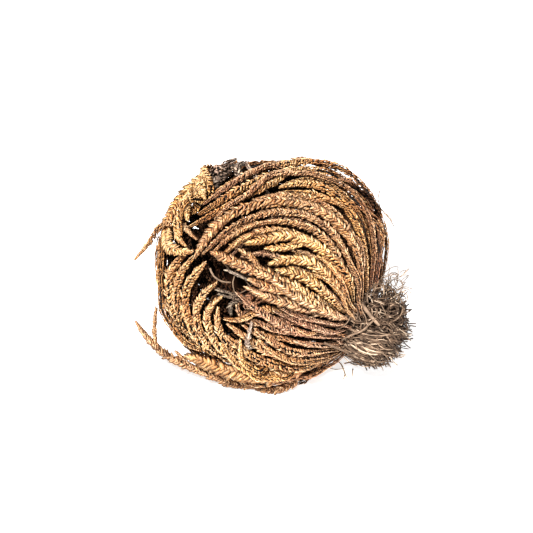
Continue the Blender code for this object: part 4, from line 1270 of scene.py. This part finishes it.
# %% Leaf colours, from the dark foot to the pale edge
# The darkest steps, which colour the leaves' feet, the edges under their neighbours and the stems, are
# painted shade; the palest, on the raised free edges and tips, are partly real pale rim and partly painted
# highlight.
FRESH = [(0.0, (0.012, 0.005, 0.002)), (0.28, (0.19, 0.070, 0.018)), (0.55, (0.58, 0.300, 0.095)),
         (0.85, (0.93, 0.69, 0.38)), (1.0, (1.0, 0.91, 0.70))]
OLD = [(0.0, (0.010, 0.005, 0.003)), (0.28, (0.095, 0.040, 0.022)), (0.55, (0.34, 0.172, 0.098)),
       (0.85, (0.73, 0.510, 0.350)), (1.0, (0.94, 0.77, 0.60))]
DEAD = [(0.0, (0.030, 0.022, 0.018)), (0.28, (0.20, 0.150, 0.118)), (0.55, (0.46, 0.360, 0.285)),
        (0.85, (0.76, 0.640, 0.520)), (1.0, (0.90, 0.80, 0.68))]
# The dark end of the dead colours: for old dead leaves, and as painted shade for the dead scraps deep in
# the mouth, which get high ages.
DEAD_OLD_AND_SHADED = [(0.0, (0.010, 0.008, 0.006)), (0.28, (0.045, 0.034, 0.024)),
             (0.55, (0.13, 0.100, 0.072)), (0.85, (0.26, 0.205, 0.150)), (1.0, (0.42, 0.34, 0.26))]
# Painted shade: near-black colours for the second layer, the strands round the heart and the heart itself,
# which stand for the shade in the gaps; the real leaves there are no darker than the outer ones.
SHADED = [(0.0, (0.006, 0.003, 0.002)), (0.34, (0.034, 0.016, 0.009)), (0.66, (0.080, 0.042, 0.022)),
          (1.0, (0.17, 0.105, 0.062))]
# what a leaf's chance multiplies its colour by
CHANCES = [(0.0, (0.42, 0.37, 0.35)), (0.2, (0.80, 0.72, 0.68)), (0.65, (1, 1, 1)),
           (1.0, (1.32, 1.26, 1.15))]
print("steps in each leaf colour:", len(FRESH), len(OLD), len(DEAD), len(DEAD_OLD_AND_SHADED), len(SHADED))

# %% Short ways to build a material
class Finish:
    """A material under construction: its node tree, and short ways to add and join nodes."""

    def __init__(self, name):
        self.material = bpy.data.materials.new(name)
        self.material.use_nodes = True
        self.tree = self.material.node_tree
        self.shader = self.tree.nodes["Principled BSDF"]

    def node(self, kind, **settings):
        made = self.tree.nodes.new(kind)
        for key, value in settings.items():
            setattr(made, key, value)
        return made

    def join(self, output, to):
        self.tree.links.new(output, to)

    def number(self, name):
        return self.node("ShaderNodeAttribute", attribute_name=name).outputs["Fac"]

    def ramp(self, value, stops):
        made = self.node("ShaderNodeValToRGB")
        steps = made.color_ramp.elements
        while len(steps) < len(stops):
            steps.new(0.5)
        for step, (place, colour) in zip(steps, stops):
            step.position = place
            step.color = (*colour, 1.0)
        self.join(value, made.inputs["Fac"])
        return made.outputs["Color"]

    def mix(self, share, one, two, kind="MIX"):
        made = self.node("ShaderNodeMix", data_type="RGBA", blend_type=kind)
        if isinstance(share, float):
            made.inputs["Factor"].default_value = share
        else:
            self.join(share, made.inputs["Factor"])
        for value, socket in ((one, made.inputs[6]), (two, made.inputs[7])):
            if isinstance(value, tuple):
                socket.default_value = (*value, 1.0)
            else:
                self.join(value, socket)
        return made.outputs[2]

    def noise(self, scale, detail=3.0, roughness=0.6):
        place = self.node("ShaderNodeTexCoord").outputs["Object"]
        made = self.node("ShaderNodeTexNoise")
        made.inputs["Scale"].default_value = scale
        made.inputs["Detail"].default_value = detail
        made.inputs["Roughness"].default_value = roughness
        self.join(place, made.inputs["Vector"])
        return made.outputs["Fac"]

    def spread(self, value, low, high, to_low, to_high):
        made = self.node("ShaderNodeMapRange")
        made.inputs["From Min"].default_value = low
        made.inputs["From Max"].default_value = high
        made.inputs["To Min"].default_value = to_low
        made.inputs["To Max"].default_value = to_high
        self.join(value, made.inputs["Value"])
        return made.outputs["Result"]

    def darken(self, colour, share):
        """The colour times a number, with the number made a grey first."""
        grey = self.node("ShaderNodeCombineColor")
        for channel in ("Red", "Green", "Blue"):
            self.join(share, grey.inputs[channel])
        return self.mix(1.0, colour, grey.outputs["Color"], "MULTIPLY")

    def bump(self, height, strength, distance):
        made = self.node("ShaderNodeBump")
        made.inputs["Strength"].default_value = strength
        made.inputs["Distance"].default_value = distance
        self.join(height, made.inputs["Height"])
        self.join(made.outputs["Normal"], self.shader.inputs["Normal"])


example = Finish("example")
print("a new material starts with the nodes:", [node.name for node in example.tree.nodes])
bpy.data.materials.remove(example.material)

# %% Leaf materials
FLECKS, PATCHES, DULLNESS, SKIN = 1500.0, 95.0, 900.0, 3800.0
MAUVE = (0.95, 0.66, 0.58)


def leaf_finish(name, young, old, gloss=0.35):
    """A leaf material between its young and its old colours."""
    finish = Finish(name)
    shade = finish.number("leaf_paleness_and_painted_light")
    colour = finish.mix(finish.number("frond_age"), finish.ramp(shade, young), finish.ramp(shade, old))
    dull = finish.ramp(finish.number("leaf_chance"), CHANCES)
    colour = finish.mix(1.0, colour, dull, "MULTIPLY")
    colour = finish.darken(colour, finish.spread(finish.noise(FLECKS), 0.35, 0.68, 0.62, 1.18))
    patches = finish.spread(finish.noise(PATCHES, 2.0), 0.45, 0.72, 0.0, 0.5)
    colour = finish.mix(patches, colour, finish.mix(1.0, colour, MAUVE, "MULTIPLY"))
    finish.join(colour, finish.shader.inputs["Base Color"])
    rough = finish.spread(finish.noise(DULLNESS), 0.3, 0.7, 0.55, 0.85)
    finish.join(rough, finish.shader.inputs["Roughness"])
    finish.shader.inputs["Specular IOR Level"].default_value = gloss
    finish.bump(finish.noise(SKIN, 2.0), 0.35, 0.00012)
    return finish.material


MATERIALS = {
    "gold_leaf": leaf_finish("gold_leaves", FRESH, OLD),
    "brown_leaf": leaf_finish("brown_leaves", FRESH, OLD),
    "grey_leaf": leaf_finish("grey_leaves", DEAD, DEAD_OLD_AND_SHADED),
    # The inner leaves' material is painted shade.
    "painted_shade_leaf": leaf_finish("inner_leaves", SHADED, SHADED, 0.08),
}
print("leaf materials:", sorted(MATERIALS))

# %% [markdown]
# ## Dress every frond
# Each frond's piece stands in for its solid, with its own age: the fronds at the bottom right are
# the oldest and brownest, and the short broad ones and the hook are golden. One material for all
# could do without the ages, but the ball would then look all one colour.

# %% Ages
AGES = {
    "crest_outer": 0.3, "crest_second": 0.25, "crest_third": 0.3, "crest_fourth": 0.15,
    "arch_outer": 0.5, "golden_arch": 0.5, "arch_low": 0.6, "arch_inner": 0.5, "curl": 0.3,
    "flat_gold": 0.05, "sliver": 0.6, "pale_one": 0.1, "pale_two": 0.05, "pale_three": 0.15,
    "mouth_long": 0.5, "mouth_low": 0.6, "low_one": 1.1, "low_two": 0.95, "low_three": 0.9,
    "low_four": 0.75, "lap_one": 0.55, "lap_two": 0.45, "lap_three": 0.35, "side_one": 0.35,
    "side_two": 0.3, "side_three": 0.35, "side_four": 0.2, "side_five": 0.25, "rim_one": 0.25,
    "rim_two": 0.3, "hook": 0.0, "left_stray": 0.5, "low_stray": 0.6, "feather": 0.35,
    "grey_tip": 0.6,
}
BACK_AGE = 0.6
print("ages from", min(AGES.values()), "to", max(AGES.values()))

# %% Finish a piece
def slot_of(name):
    """The record's finish for a frond, by its name."""
    if name == "grey_tip":
        return "grey_leaf"
    if name.startswith(("crest", "back", "low")):
        return "brown_leaf"
    return "gold_leaf"


def finish_piece(piece, slot, *nodes, material=None):
    """Give a piece the material of its slot, or the one named, and let it stand in for its solids."""
    piece.data.materials.clear()
    piece.data.materials.append(MATERIALS[material or slot])
    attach(piece, "root")
    if nodes:
        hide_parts(*nodes)


print("the hook's finish is", slot_of("hook"), "and the crest's is", slot_of("crest_outer"))

# %% Fronds
faces_made = 0
for number, name in enumerate(dict.fromkeys(cord.name for cord in cords[:solid_cords])):
    strands = [cord for cord in cords[:solid_cords] if cord.name == name]
    piece = leafy_piece(name + "_leaves", strands, AGES.get(name, BACK_AGE), 100 + number)
    finish_piece(piece, slot_of(name), name)
    faces_made += len(piece.data.polygons)
print("faces on the fronds:", faces_made)

# %% Finer strands and dead bits
def named(name):
    return [cord for cord in cords if cord.name == name]


for name, kind, seed, slot in (("fine_fronds", "fine", 300, "gold_leaf"),
                               ("grey_bits", "grey", 299, "grey_leaf")):
    strands = named(kind)
    piece = leafy_piece(name, strands, [cord.age for cord in strands], seed)
    finish_piece(piece, slot)
    print("faces on", name + ":", len(piece.data.polygons))

# %% The layers in the shade
SHADE_AGE = 0.8
UNDER_PITCH = 1.15
INNER_PITCH = 1.6

# The second layer and the strands round the heart get the near-black material, as painted shade.
for half in (0, 1):
    strands = named("under")[half::2]
    piece = leafy_piece(f"under_fronds_{half + 1}", strands, SHADE_AGE, 301 + half, UNDER_PITCH, low=False)
    finish_piece(piece, "brown_leaf", material="painted_shade_leaf")
    print("faces on a half of the second layer:", len(piece.data.polygons))
piece = leafy_piece("inner_fronds", named("inner"), SHADE_AGE, 303, INNER_PITCH, low=False, leaf=PLAIN_LEAF)
finish_piece(piece, "brown_leaf", material="painted_shade_leaf")
print("faces on the inner strands:", len(piece.data.polygons))

# %% [markdown]
# ## The heart of the ball
# The youngest fronds never opened. They lie packed in the middle and show only as dark strands
# in the mouth and the gaps. They are leafy strands as the others, round a rough core, on a neck
# that reaches the crown, all in a near-black painted shade. The core alone would show as a lump,
# and the strands alone would let the light through.

# %% Strands of the heart
HEART_CORDS = 26
HEART_THICK = 2.3
HEART_SLIM = 12.0
HEART_FIRST, HEART_LAST = math.radians(14.0), math.radians(168.0)
HEART_TWIST = math.radians(30.0)
NECK_SUNK = 8.0


def heart_cords():
    """Strands from pole to pole over the heart, with the axis from the crown."""
    axis = unit(HEART - CROWN)
    crest = unit(np.array([0.0, 1.0, 0.0]) - axis * axis[1])
    side = np.cross(axis, crest)
    made = []
    for i in range(HEART_CORDS):
        line = []
        for reach in np.linspace(HEART_FIRST, HEART_LAST, 2 * CURVE_STEPS):
            turn = 2 * math.pi * i / HEART_CORDS + HEART_TWIST * math.sin(reach + i)
            across = crest * math.cos(turn) + side * math.sin(turn)
            way = across * math.sin(reach) - axis * math.cos(reach)
            line.append(HEART + way / np.linalg.norm(way / (HEART_HALF - HEART_THICK)))
        made.append(Cord("heart", resample(np.array(line), CORD_STEP), HEART_THICK, HEART_SLIM))
    start = CROWN + axis * (CROWN_RADIUS + GAP)
    neck = resample(np.array([start, HEART - axis * NECK_SUNK]), CORD_STEP)
    made.append(Cord("heart", neck, NECK_THICK, 1.0))
    return made


heart = leafy_piece("heart_leaves", heart_cords(), 0.95, 400, 1.2, low=False)
print("faces on the strands of the heart:", len(heart.data.polygons))

# %% Core of the heart
CORE_HALF = HEART_HALF - 2 * HEART_THICK + 0.6


def rough_ball(name, subdivisions):
    """A round mesh at the world's middle, and the places of its corners."""
    deselect_all()
    bpy.ops.mesh.primitive_ico_sphere_add(subdivisions=subdivisions, radius=1.0, location=(0, 0, 0))
    ball = bpy.context.object
    ball.name = name
    return ball, np.array([vertex.co for vertex in ball.data.vertices])


def place_corners(obj, places):
    """Move a mesh's corners to face places in millimetres."""
    obj.data.vertices.foreach_set("co", to_world(places).ravel())
    obj.data.update()


core, places = rough_ball("heart_core", 4)
x, y, z = places[:, :1], places[:, 1:2], places[:, 2:]
rough = 1 + 0.03 * np.sin(9 * x + 5) * np.sin(11 * y) * np.sin(10 * z)
place_corners(core, HEART + places * rough * CORE_HALF)
# The core's numbers speckle its near-black material, which is painted shade.
write_numbers(core, "leaf_paleness_and_painted_light", np.random.default_rng(9).uniform(0.0, 0.7, len(places)))
write_numbers(core, "leaf_chance", np.full(len(places), 0.5))
write_numbers(core, "frond_age", np.full(len(places), 0.9))
join_to(heart, core)
finish_piece(heart, "brown_leaf", "heart", material="painted_shade_leaf")
print("faces on the heart:", len(heart.data.polygons))

# %% [markdown]
# ## Crown and roots
# The crown is a short woody stock. Several hundred wiry roots stand on it like a worn brush, all
# a little bent: long ones from the crown to the outside of the brush, roots combed side by side
# over its lower half, short crooked ones all over the side that is seen, and fibres on the crown.
# Each is a curve with a bevel that thins to its end, made a mesh, so that its thickness can follow
# the root. A hair system would not survive the export.

# %% Root material
DIRT, BARK = 420.0, 2500.0
ROOT_COLOURS = [(0.0, (0.025, 0.014, 0.009)), (0.4, (0.14, 0.088, 0.056)),
                (0.75, (0.36, 0.250, 0.170)), (1.0, (0.80, 0.63, 0.46))]


def root_finish():
    """Grey brown wood, from dark to pale by each root's tone, which is painted shade for the roots inside
    the brush.
    """
    finish = Finish("grey_brown_roots")
    colour = finish.ramp(finish.number("leaf_chance"), ROOT_COLOURS)
    colour = finish.darken(colour, finish.spread(finish.noise(DIRT), 0.35, 0.65, 0.55, 1.15))
    finish.join(colour, finish.shader.inputs["Base Color"])
    finish.shader.inputs["Roughness"].default_value = 0.75
    finish.shader.inputs["Specular IOR Level"].default_value = 0.3
    finish.bump(finish.noise(BARK), 0.4, 0.00015)
    return finish.material


MATERIALS["root"] = root_finish()
print("materials:", sorted(MATERIALS))

# %% Long roots from the crown
BRUSH = np.array([34.4, -19.0, 7.5])
BRUSH_HALF = np.array([12.4, 15.2, 12.6])
BRUSH_REACH = 26.0
ROOT_LONGEST = 19.0
ROOT_BEND = 0.22
ROOT_SAMPLES = 10
ROOT_ROOM = 0.2
ROOT_OFF_FLOOR = 0.4


def off_the_floor(line):
    """The same line, lifted where it would go below the floor."""
    lack = ROOT_OFF_FLOOR - FLOOR - line @ RISE
    return line + RISE * np.maximum(lack, 0.0)[:, None]


def root_line(flow, share, wave, rng):
    """One bent line from the crown to the outside of the brush, or None where it is too long."""
    way = unit(rng.normal(size=3) + share * flow)
    end = BRUSH + BRUSH_HALF * way * rng.uniform(0.84, 1.0)
    start = CROWN + unit(unit(end - CROWN) + 0.7 * rng.normal(size=3)) * (CROWN_RADIUS - 1.0)
    long = np.linalg.norm(end - start)
    if long > ROOT_LONGEST:
        return None
    aside = unit(unit(start - CROWN) + rng.normal(size=3))
    knee = start + 0.5 * (end - start) + ROOT_BEND * long * aside
    t = np.linspace(0.0, 1.0, ROOT_SAMPLES)[:, None]
    line = (1 - t) ** 2 * start + 2 * t * (1 - t) * knee + t ** 2 * end
    for beats in (1.0, 2.6):
        swing = rng.normal(size=3) * wave / beats
        line = line + swing * np.sin(beats * math.pi * t + rng.uniform(0, 6.3)) * t
    return off_the_floor(line)


def root_lines(count, flow, share, wave, rng):
    """Bent lines that keep clear of the stems.

    flow is a way that they share, share is how much, and wave is how wavy they are in millimetres.
    """
    stems = np.vstack([cord.line for cord in cords])
    thick = np.concatenate([cord.radius for cord in cords])
    near = np.linalg.norm(stems - BRUSH, axis=1) < BRUSH_REACH
    stems, thick = stems[near], thick[near]
    lines = []
    while len(lines) < count:
        line = root_line(flow, share, wave, rng)
        if line is None:
            continue
        room = np.linalg.norm(line[2:, None] - stems[None], axis=2) - thick
        if room.min() > ROOT_ROOM:
            lines.append(line)
    return lines


root_rng = np.random.default_rng(11)
lines = root_lines(330, np.array([0.45, -0.72, 0.52]), share=2.0, wave=0.6, rng=root_rng)
lines += root_lines(380, np.array([0.80, 0.25, 0.55]), share=1.2, wave=1.6, rng=root_rng)
print("long roots:", len(lines))

# %% Places on the seen side of the brush
def on_brush(across, up, depth):
    """A place on the side of the brush that the viewer sees, depth under its surface."""
    ahead = 1.0 - ((across - BRUSH[0]) / BRUSH_HALF[0]) ** 2 - ((up - BRUSH[1]) / BRUSH_HALF[1]) ** 2
    out = BRUSH[2] + BRUSH_HALF[2] * np.sqrt(np.clip(ahead, 0.0, 1.0)) - depth
    low = (ROOT_OFF_FLOOR - FLOOR - up * RISE[1]) / RISE[2]
    return np.stack([across, up, np.maximum(out, low)], axis=-1)


print("the brush's front is at", on_brush(*BRUSH[:2], 0.0).round(1))

# %% Roots combed side by side
# the first and the last root's start and end, across and up, and how they bow between them
COMB_STARTS = np.array([[21.5, -26.5], [28.5, -19.0]])
COMB_ENDS = np.array([[37.5, -33.5], [45.0, -21.5]])
COMB_BOW = np.array([-0.4, -2.6])
COMB_STRAY = 0.8
COMB_SHORTEST = 0.4


def combed_roots(count, rng):
    """Roots side by side that flow down and to the right over the lower half of the brush."""
    made = []
    for _ in range(count):
        share = rng.random()
        start = COMB_STARTS[0] + (COMB_STARTS[1] - COMB_STARTS[0]) * share
        end = COMB_ENDS[0] + (COMB_ENDS[1] - COMB_ENDS[0]) * share + rng.normal(0, COMB_STRAY, 2)
        t = np.linspace(0.0, 1.0, ROOT_SAMPLES)
        first, last = sorted(rng.uniform(0.0, 1.0, 2))
        t = first * 0.5 + (max(last, first + COMB_SHORTEST) - first * 0.5) * t
        bow = COMB_BOW * rng.uniform(0.5, 1.2)
        place = start + (end - start) * t[:, None] + bow * np.sin(math.pi * t)[:, None]
        place[:, 1] += rng.uniform(0.1, 0.5) * np.sin(rng.uniform(3, 9) * t + rng.uniform(0, 6.3))
        depth = rng.uniform(-0.6, 2.0) + 1.6 * (2 * t - 1) ** 4
        made.append(on_brush(place[:, 0], place[:, 1], depth))
    return made


print("a combed root has", len(combed_roots(1, np.random.default_rng(0))[0]), "places")

# %% Crooked roots
# below this height on the face the crooked roots hang down
HANGING = -18
CROOKED_LONG = (1.2, 3.6)
MOST_CROOK = 1.1


def curled_roots(count, rng):
    """Short crooked roots all over the seen side of the brush."""
    made = []
    for _ in range(count):
        turn, reach = rng.uniform(0, 2 * math.pi), math.sqrt(rng.random())
        middle = BRUSH[:2] + BRUSH_HALF[:2] * reach * 0.97 * np.array([math.cos(turn), math.sin(turn)])
        way = rng.uniform(-1.1, 0.3) if middle[1] < HANGING else rng.uniform(-1.6, 1.6)
        t = np.linspace(-1.0, 1.0, 10)
        long, crook = rng.uniform(*CROOKED_LONG), rng.uniform(-MOST_CROOK, MOST_CROOK)
        place = middle + np.stack([long * t * math.cos(way) - crook * t ** 2 * math.sin(way),
                                   long * t * math.sin(way) + crook * t ** 2 * math.cos(way)], axis=1)
        made.append(on_brush(place[:, 0], place[:, 1], rng.uniform(-0.8, 1.2) + 0.8 * t ** 2))
    return made


print("a crooked root has", len(curled_roots(1, np.random.default_rng(0))[0]), "places")

# %% Fibres on the crown, and all roots as wires
CROWN_CORE = 6.4
ROOT_THINS = 0.25


def crown_fibres(count, rng):
    """Short fibres that lie on the crown in all directions."""
    lines = []
    for _ in range(count):
        way = unit(rng.normal(size=3))
        aside = unit(np.cross(way, rng.normal(size=3)))
        reach = np.linspace(0.0, rng.uniform(0.5, 1.0), 6)[:, None]
        arc = way * np.cos(reach) + aside * np.sin(reach)
        lines.append(CROWN + arc * (CROWN_CORE + rng.uniform(0.2, 1.2) + 0.3 * np.sin(6 * reach)))
    return lines


def wires(name, lines, thick, seed, tone=(0.0, 1.0)):
    """Thin round wires along lines, tapered to their ends, each with a tone drawn from the given range, as
    one mesh.
    """
    rng = np.random.default_rng(seed)
    radii, tones = [], []
    for line in lines:
        share = np.linspace(0.0, 1.0, len(line))
        radii.append(rng.uniform(*thick) * (1.0 - ROOT_THINS * share))
        tones.append(rng.uniform(*tone))
    return tubes(name, lines, radii, tones)


# The long roots and the fibres on the crown lie inside the brush, so they get only dark tones, as painted
# shade; the combed and crooked roots on its seen side get nearly the whole range.
roots = wires("roots", lines, (0.20, 0.40), 12, (0.0, 0.5))
root_groups = [
    wires("crown_fibres", crown_fibres(420, root_rng), (0.2, 0.35), 13, (0.0, 0.3)),
    wires("combed_roots", combed_roots(85, root_rng), (0.16, 0.36), 14, (0.0, 0.95)),
    wires("curled_roots", curled_roots(330, root_rng), (0.15, 0.30), 15, (0.0, 0.9)),
]
print("roots:", len(roots.data.polygons), "faces,", [len(g.data.polygons) for g in root_groups])

# %% Crown
crown, places = rough_ball("crown", 5)
x, y, z = places[:, :1], places[:, 1:2], places[:, 2:]
bumps = 1 + 0.05 * np.sin(14 * x + 2) * np.sin(12 * y) + 0.03 * np.sin(23 * z)
place_corners(crown, CROWN + CROWN_CORE * places * bumps)
write_numbers(crown, "leaf_chance", np.full(len(places), 0.1))
join_to(roots, crown, *root_groups)
roots.name = "crown_with_roots"
finish_piece(roots, "root", "crown_and_roots")
print("faces on crown and roots:", len(roots.data.polygons))

# %% [markdown]
# ## Loose twigs and hairs
# Round the brush some roots stand apart: a pale one along its lower edge, a few that lie on the
# table, a twig across the crown, fine hairs at the right, and curled dead twigs in the mouth of
# the ball. Each has its own thickness and its own few places. Strewing them at random would be
# less work, but these are large enough in the photo to be told apart.

# %% Ways to give their places
def on_table(across, up, above=0.5):
    """The place on the table that is seen at a place of the face, a little above the table."""
    out = (above - FLOOR - up * RISE[1]) / RISE[2]
    return np.array([across, up, out])


def places_of(*places):
    """A smooth line through places given as across, up and out."""
    return smooth_route([np.array(place, float) for place in places])


print("below the brush the table is seen at", on_table(25, -34).round(1))

# %% Twigs round the brush and roots on the table
TWIGS = [
    (0.42, places_of((24, -24, 17), (27, -22.4, 20), (30.5, -21, 21.4), (33, -18.8, 21.6),
                     (35.4, -16.6, 21))),
    (0.80, places_of((30.5, -11.5, 17), (32.5, -14.5, 19.6), (34.5, -17, 20.6), (36.5, -19.2, 20.2))),
    (0.50, places_of((18, -25, 18), (22, -26.6, 17), (26, -28.4, 14), (31, -31.4, 9), (36.5, -32.8, 6),
                     (40, -32.4, 4))),
    (0.40, places_of((25, -25.5, 15), (29, -28.3, 13), (33, -31.2, 10), (36, -32.5, 8))),
    (0.30, places_of((22, -20.5, 19), (24.5, -19.5, 19), (26.5, -17, 19), (27, -14, 19))),
    (0.32, places_of((26, -15, 19), (28, -17.5, 20), (31, -18, 20), (33.5, -20, 19))),
]
FLOOR_ROOTS = [
    (0.30, places_of(on_table(18, -30), on_table(21, -31.3), on_table(24, -32.5), on_table(25.3, -35),
                     on_table(26, -37), on_table(27.6, -39))),
    (0.22, places_of(on_table(25.6, -36.6), on_table(25.2, -37.6), on_table(24.6, -38.2))),
    (0.22, places_of(on_table(28.4, -34.6), on_table(28.2, -36.5), on_table(28.6, -38),
                     on_table(29.6, -39.6))),
    (0.20, places_of(on_table(19.5, -34), on_table(22.5, -34.8), on_table(25.5, -34.4))),
]
print("twigs:", len(TWIGS), "and roots on the table:", len(FLOOR_ROOTS))

# %% Hairs at the right and twigs in the mouth
HAIRS = [
    (0.20, places_of((37.6, 26.8, -3), (36.8, 23.5, -3), (37.6, 20.5, -2), (36.5, 17.5, -2))),
    (0.28, places_of((37.4, 20.6, -2), (39.4, 18.3, -2), (41, 16.4, -2), (42.4, 13.8, -2))),
    (0.20, places_of((38.6, 18.8, -2), (40.4, 17.9, -2), (41.6, 16, -2))),
]
MOUTH_TWIGS = [
    (0.50, places_of((-20, 0, 24), (-18.8, -2.6, 23.5), (-16.2, -4.4, 23), (-13, -4.8, 22.5))),
    (0.35, places_of((-16, 2.5, 23), (-13, -1, 23), (-9, -3.5, 22), (-5.5, -7.5, 22))),
    (0.30, places_of((-19, -6, 22), (-14, -8, 22), (-9.5, -8.2, 23), (-6, -5.5, 23))),
    (0.30, places_of((-12, 3, 25), (-11.4, -1, 25), (-12.4, -5, 24), (-11.6, -9, 23))),
]

# where the fine hairs start, across, up and out, and the way that they share
HAIR_STARTS = ((37.5, 44), (-12, -2), (2, 12))
HAIR_WAY = np.array([0.9, 0.8, 0.2])


def bent_hairs(count, rng):
    """Fine curled hairs at the right of the brush."""
    made = []
    for _ in range(count):
        start = np.array([rng.uniform(*span) for span in HAIR_STARTS])
        way = unit(rng.normal(size=3) + HAIR_WAY)
        other = unit(np.cross(way, rng.normal(size=3)))
        size, turns = rng.uniform(1.4, 3.0), rng.uniform(2.0, 4.6)
        t = np.linspace(0.0, turns, 12)[:, None]
        made.append(start + size * (way * np.sin(t) + other * (1 - np.cos(t))) + way * 0.4 * t)
    return made


print("hairs:", len(HAIRS), "and twigs in the mouth:", len(MOUTH_TWIGS))

# %% Loose twigs
HAIR_THICK = 0.13
TWIG_TONES = (0.35, 0.8)
PALE_TONES = (0.85, 1.0)


def one_thickness(name, thick, lines, seed, tone):
    """Wires that are all about one thickness."""
    return wires(name, lines, (0.9 * thick, 1.1 * thick), seed, tone)


parts = [one_thickness(f"twig_{i}", thick, [line], 20 + i, TWIG_TONES)
         for i, (thick, line) in enumerate(TWIGS + HAIRS + MOUTH_TWIGS)]
parts += [one_thickness(f"floor_root_{i}", thick, [line], 50 + i, PALE_TONES)
          for i, (thick, line) in enumerate(FLOOR_ROOTS)]
parts.append(one_thickness("hairs", HAIR_THICK, bent_hairs(46, np.random.default_rng(5)), 60, TWIG_TONES))
join_to(*parts)
twigs = bpy.context.object
twigs.name = "loose_twigs"
finish_piece(twigs, "root")
print("faces on the loose twigs:", len(twigs.data.polygons))
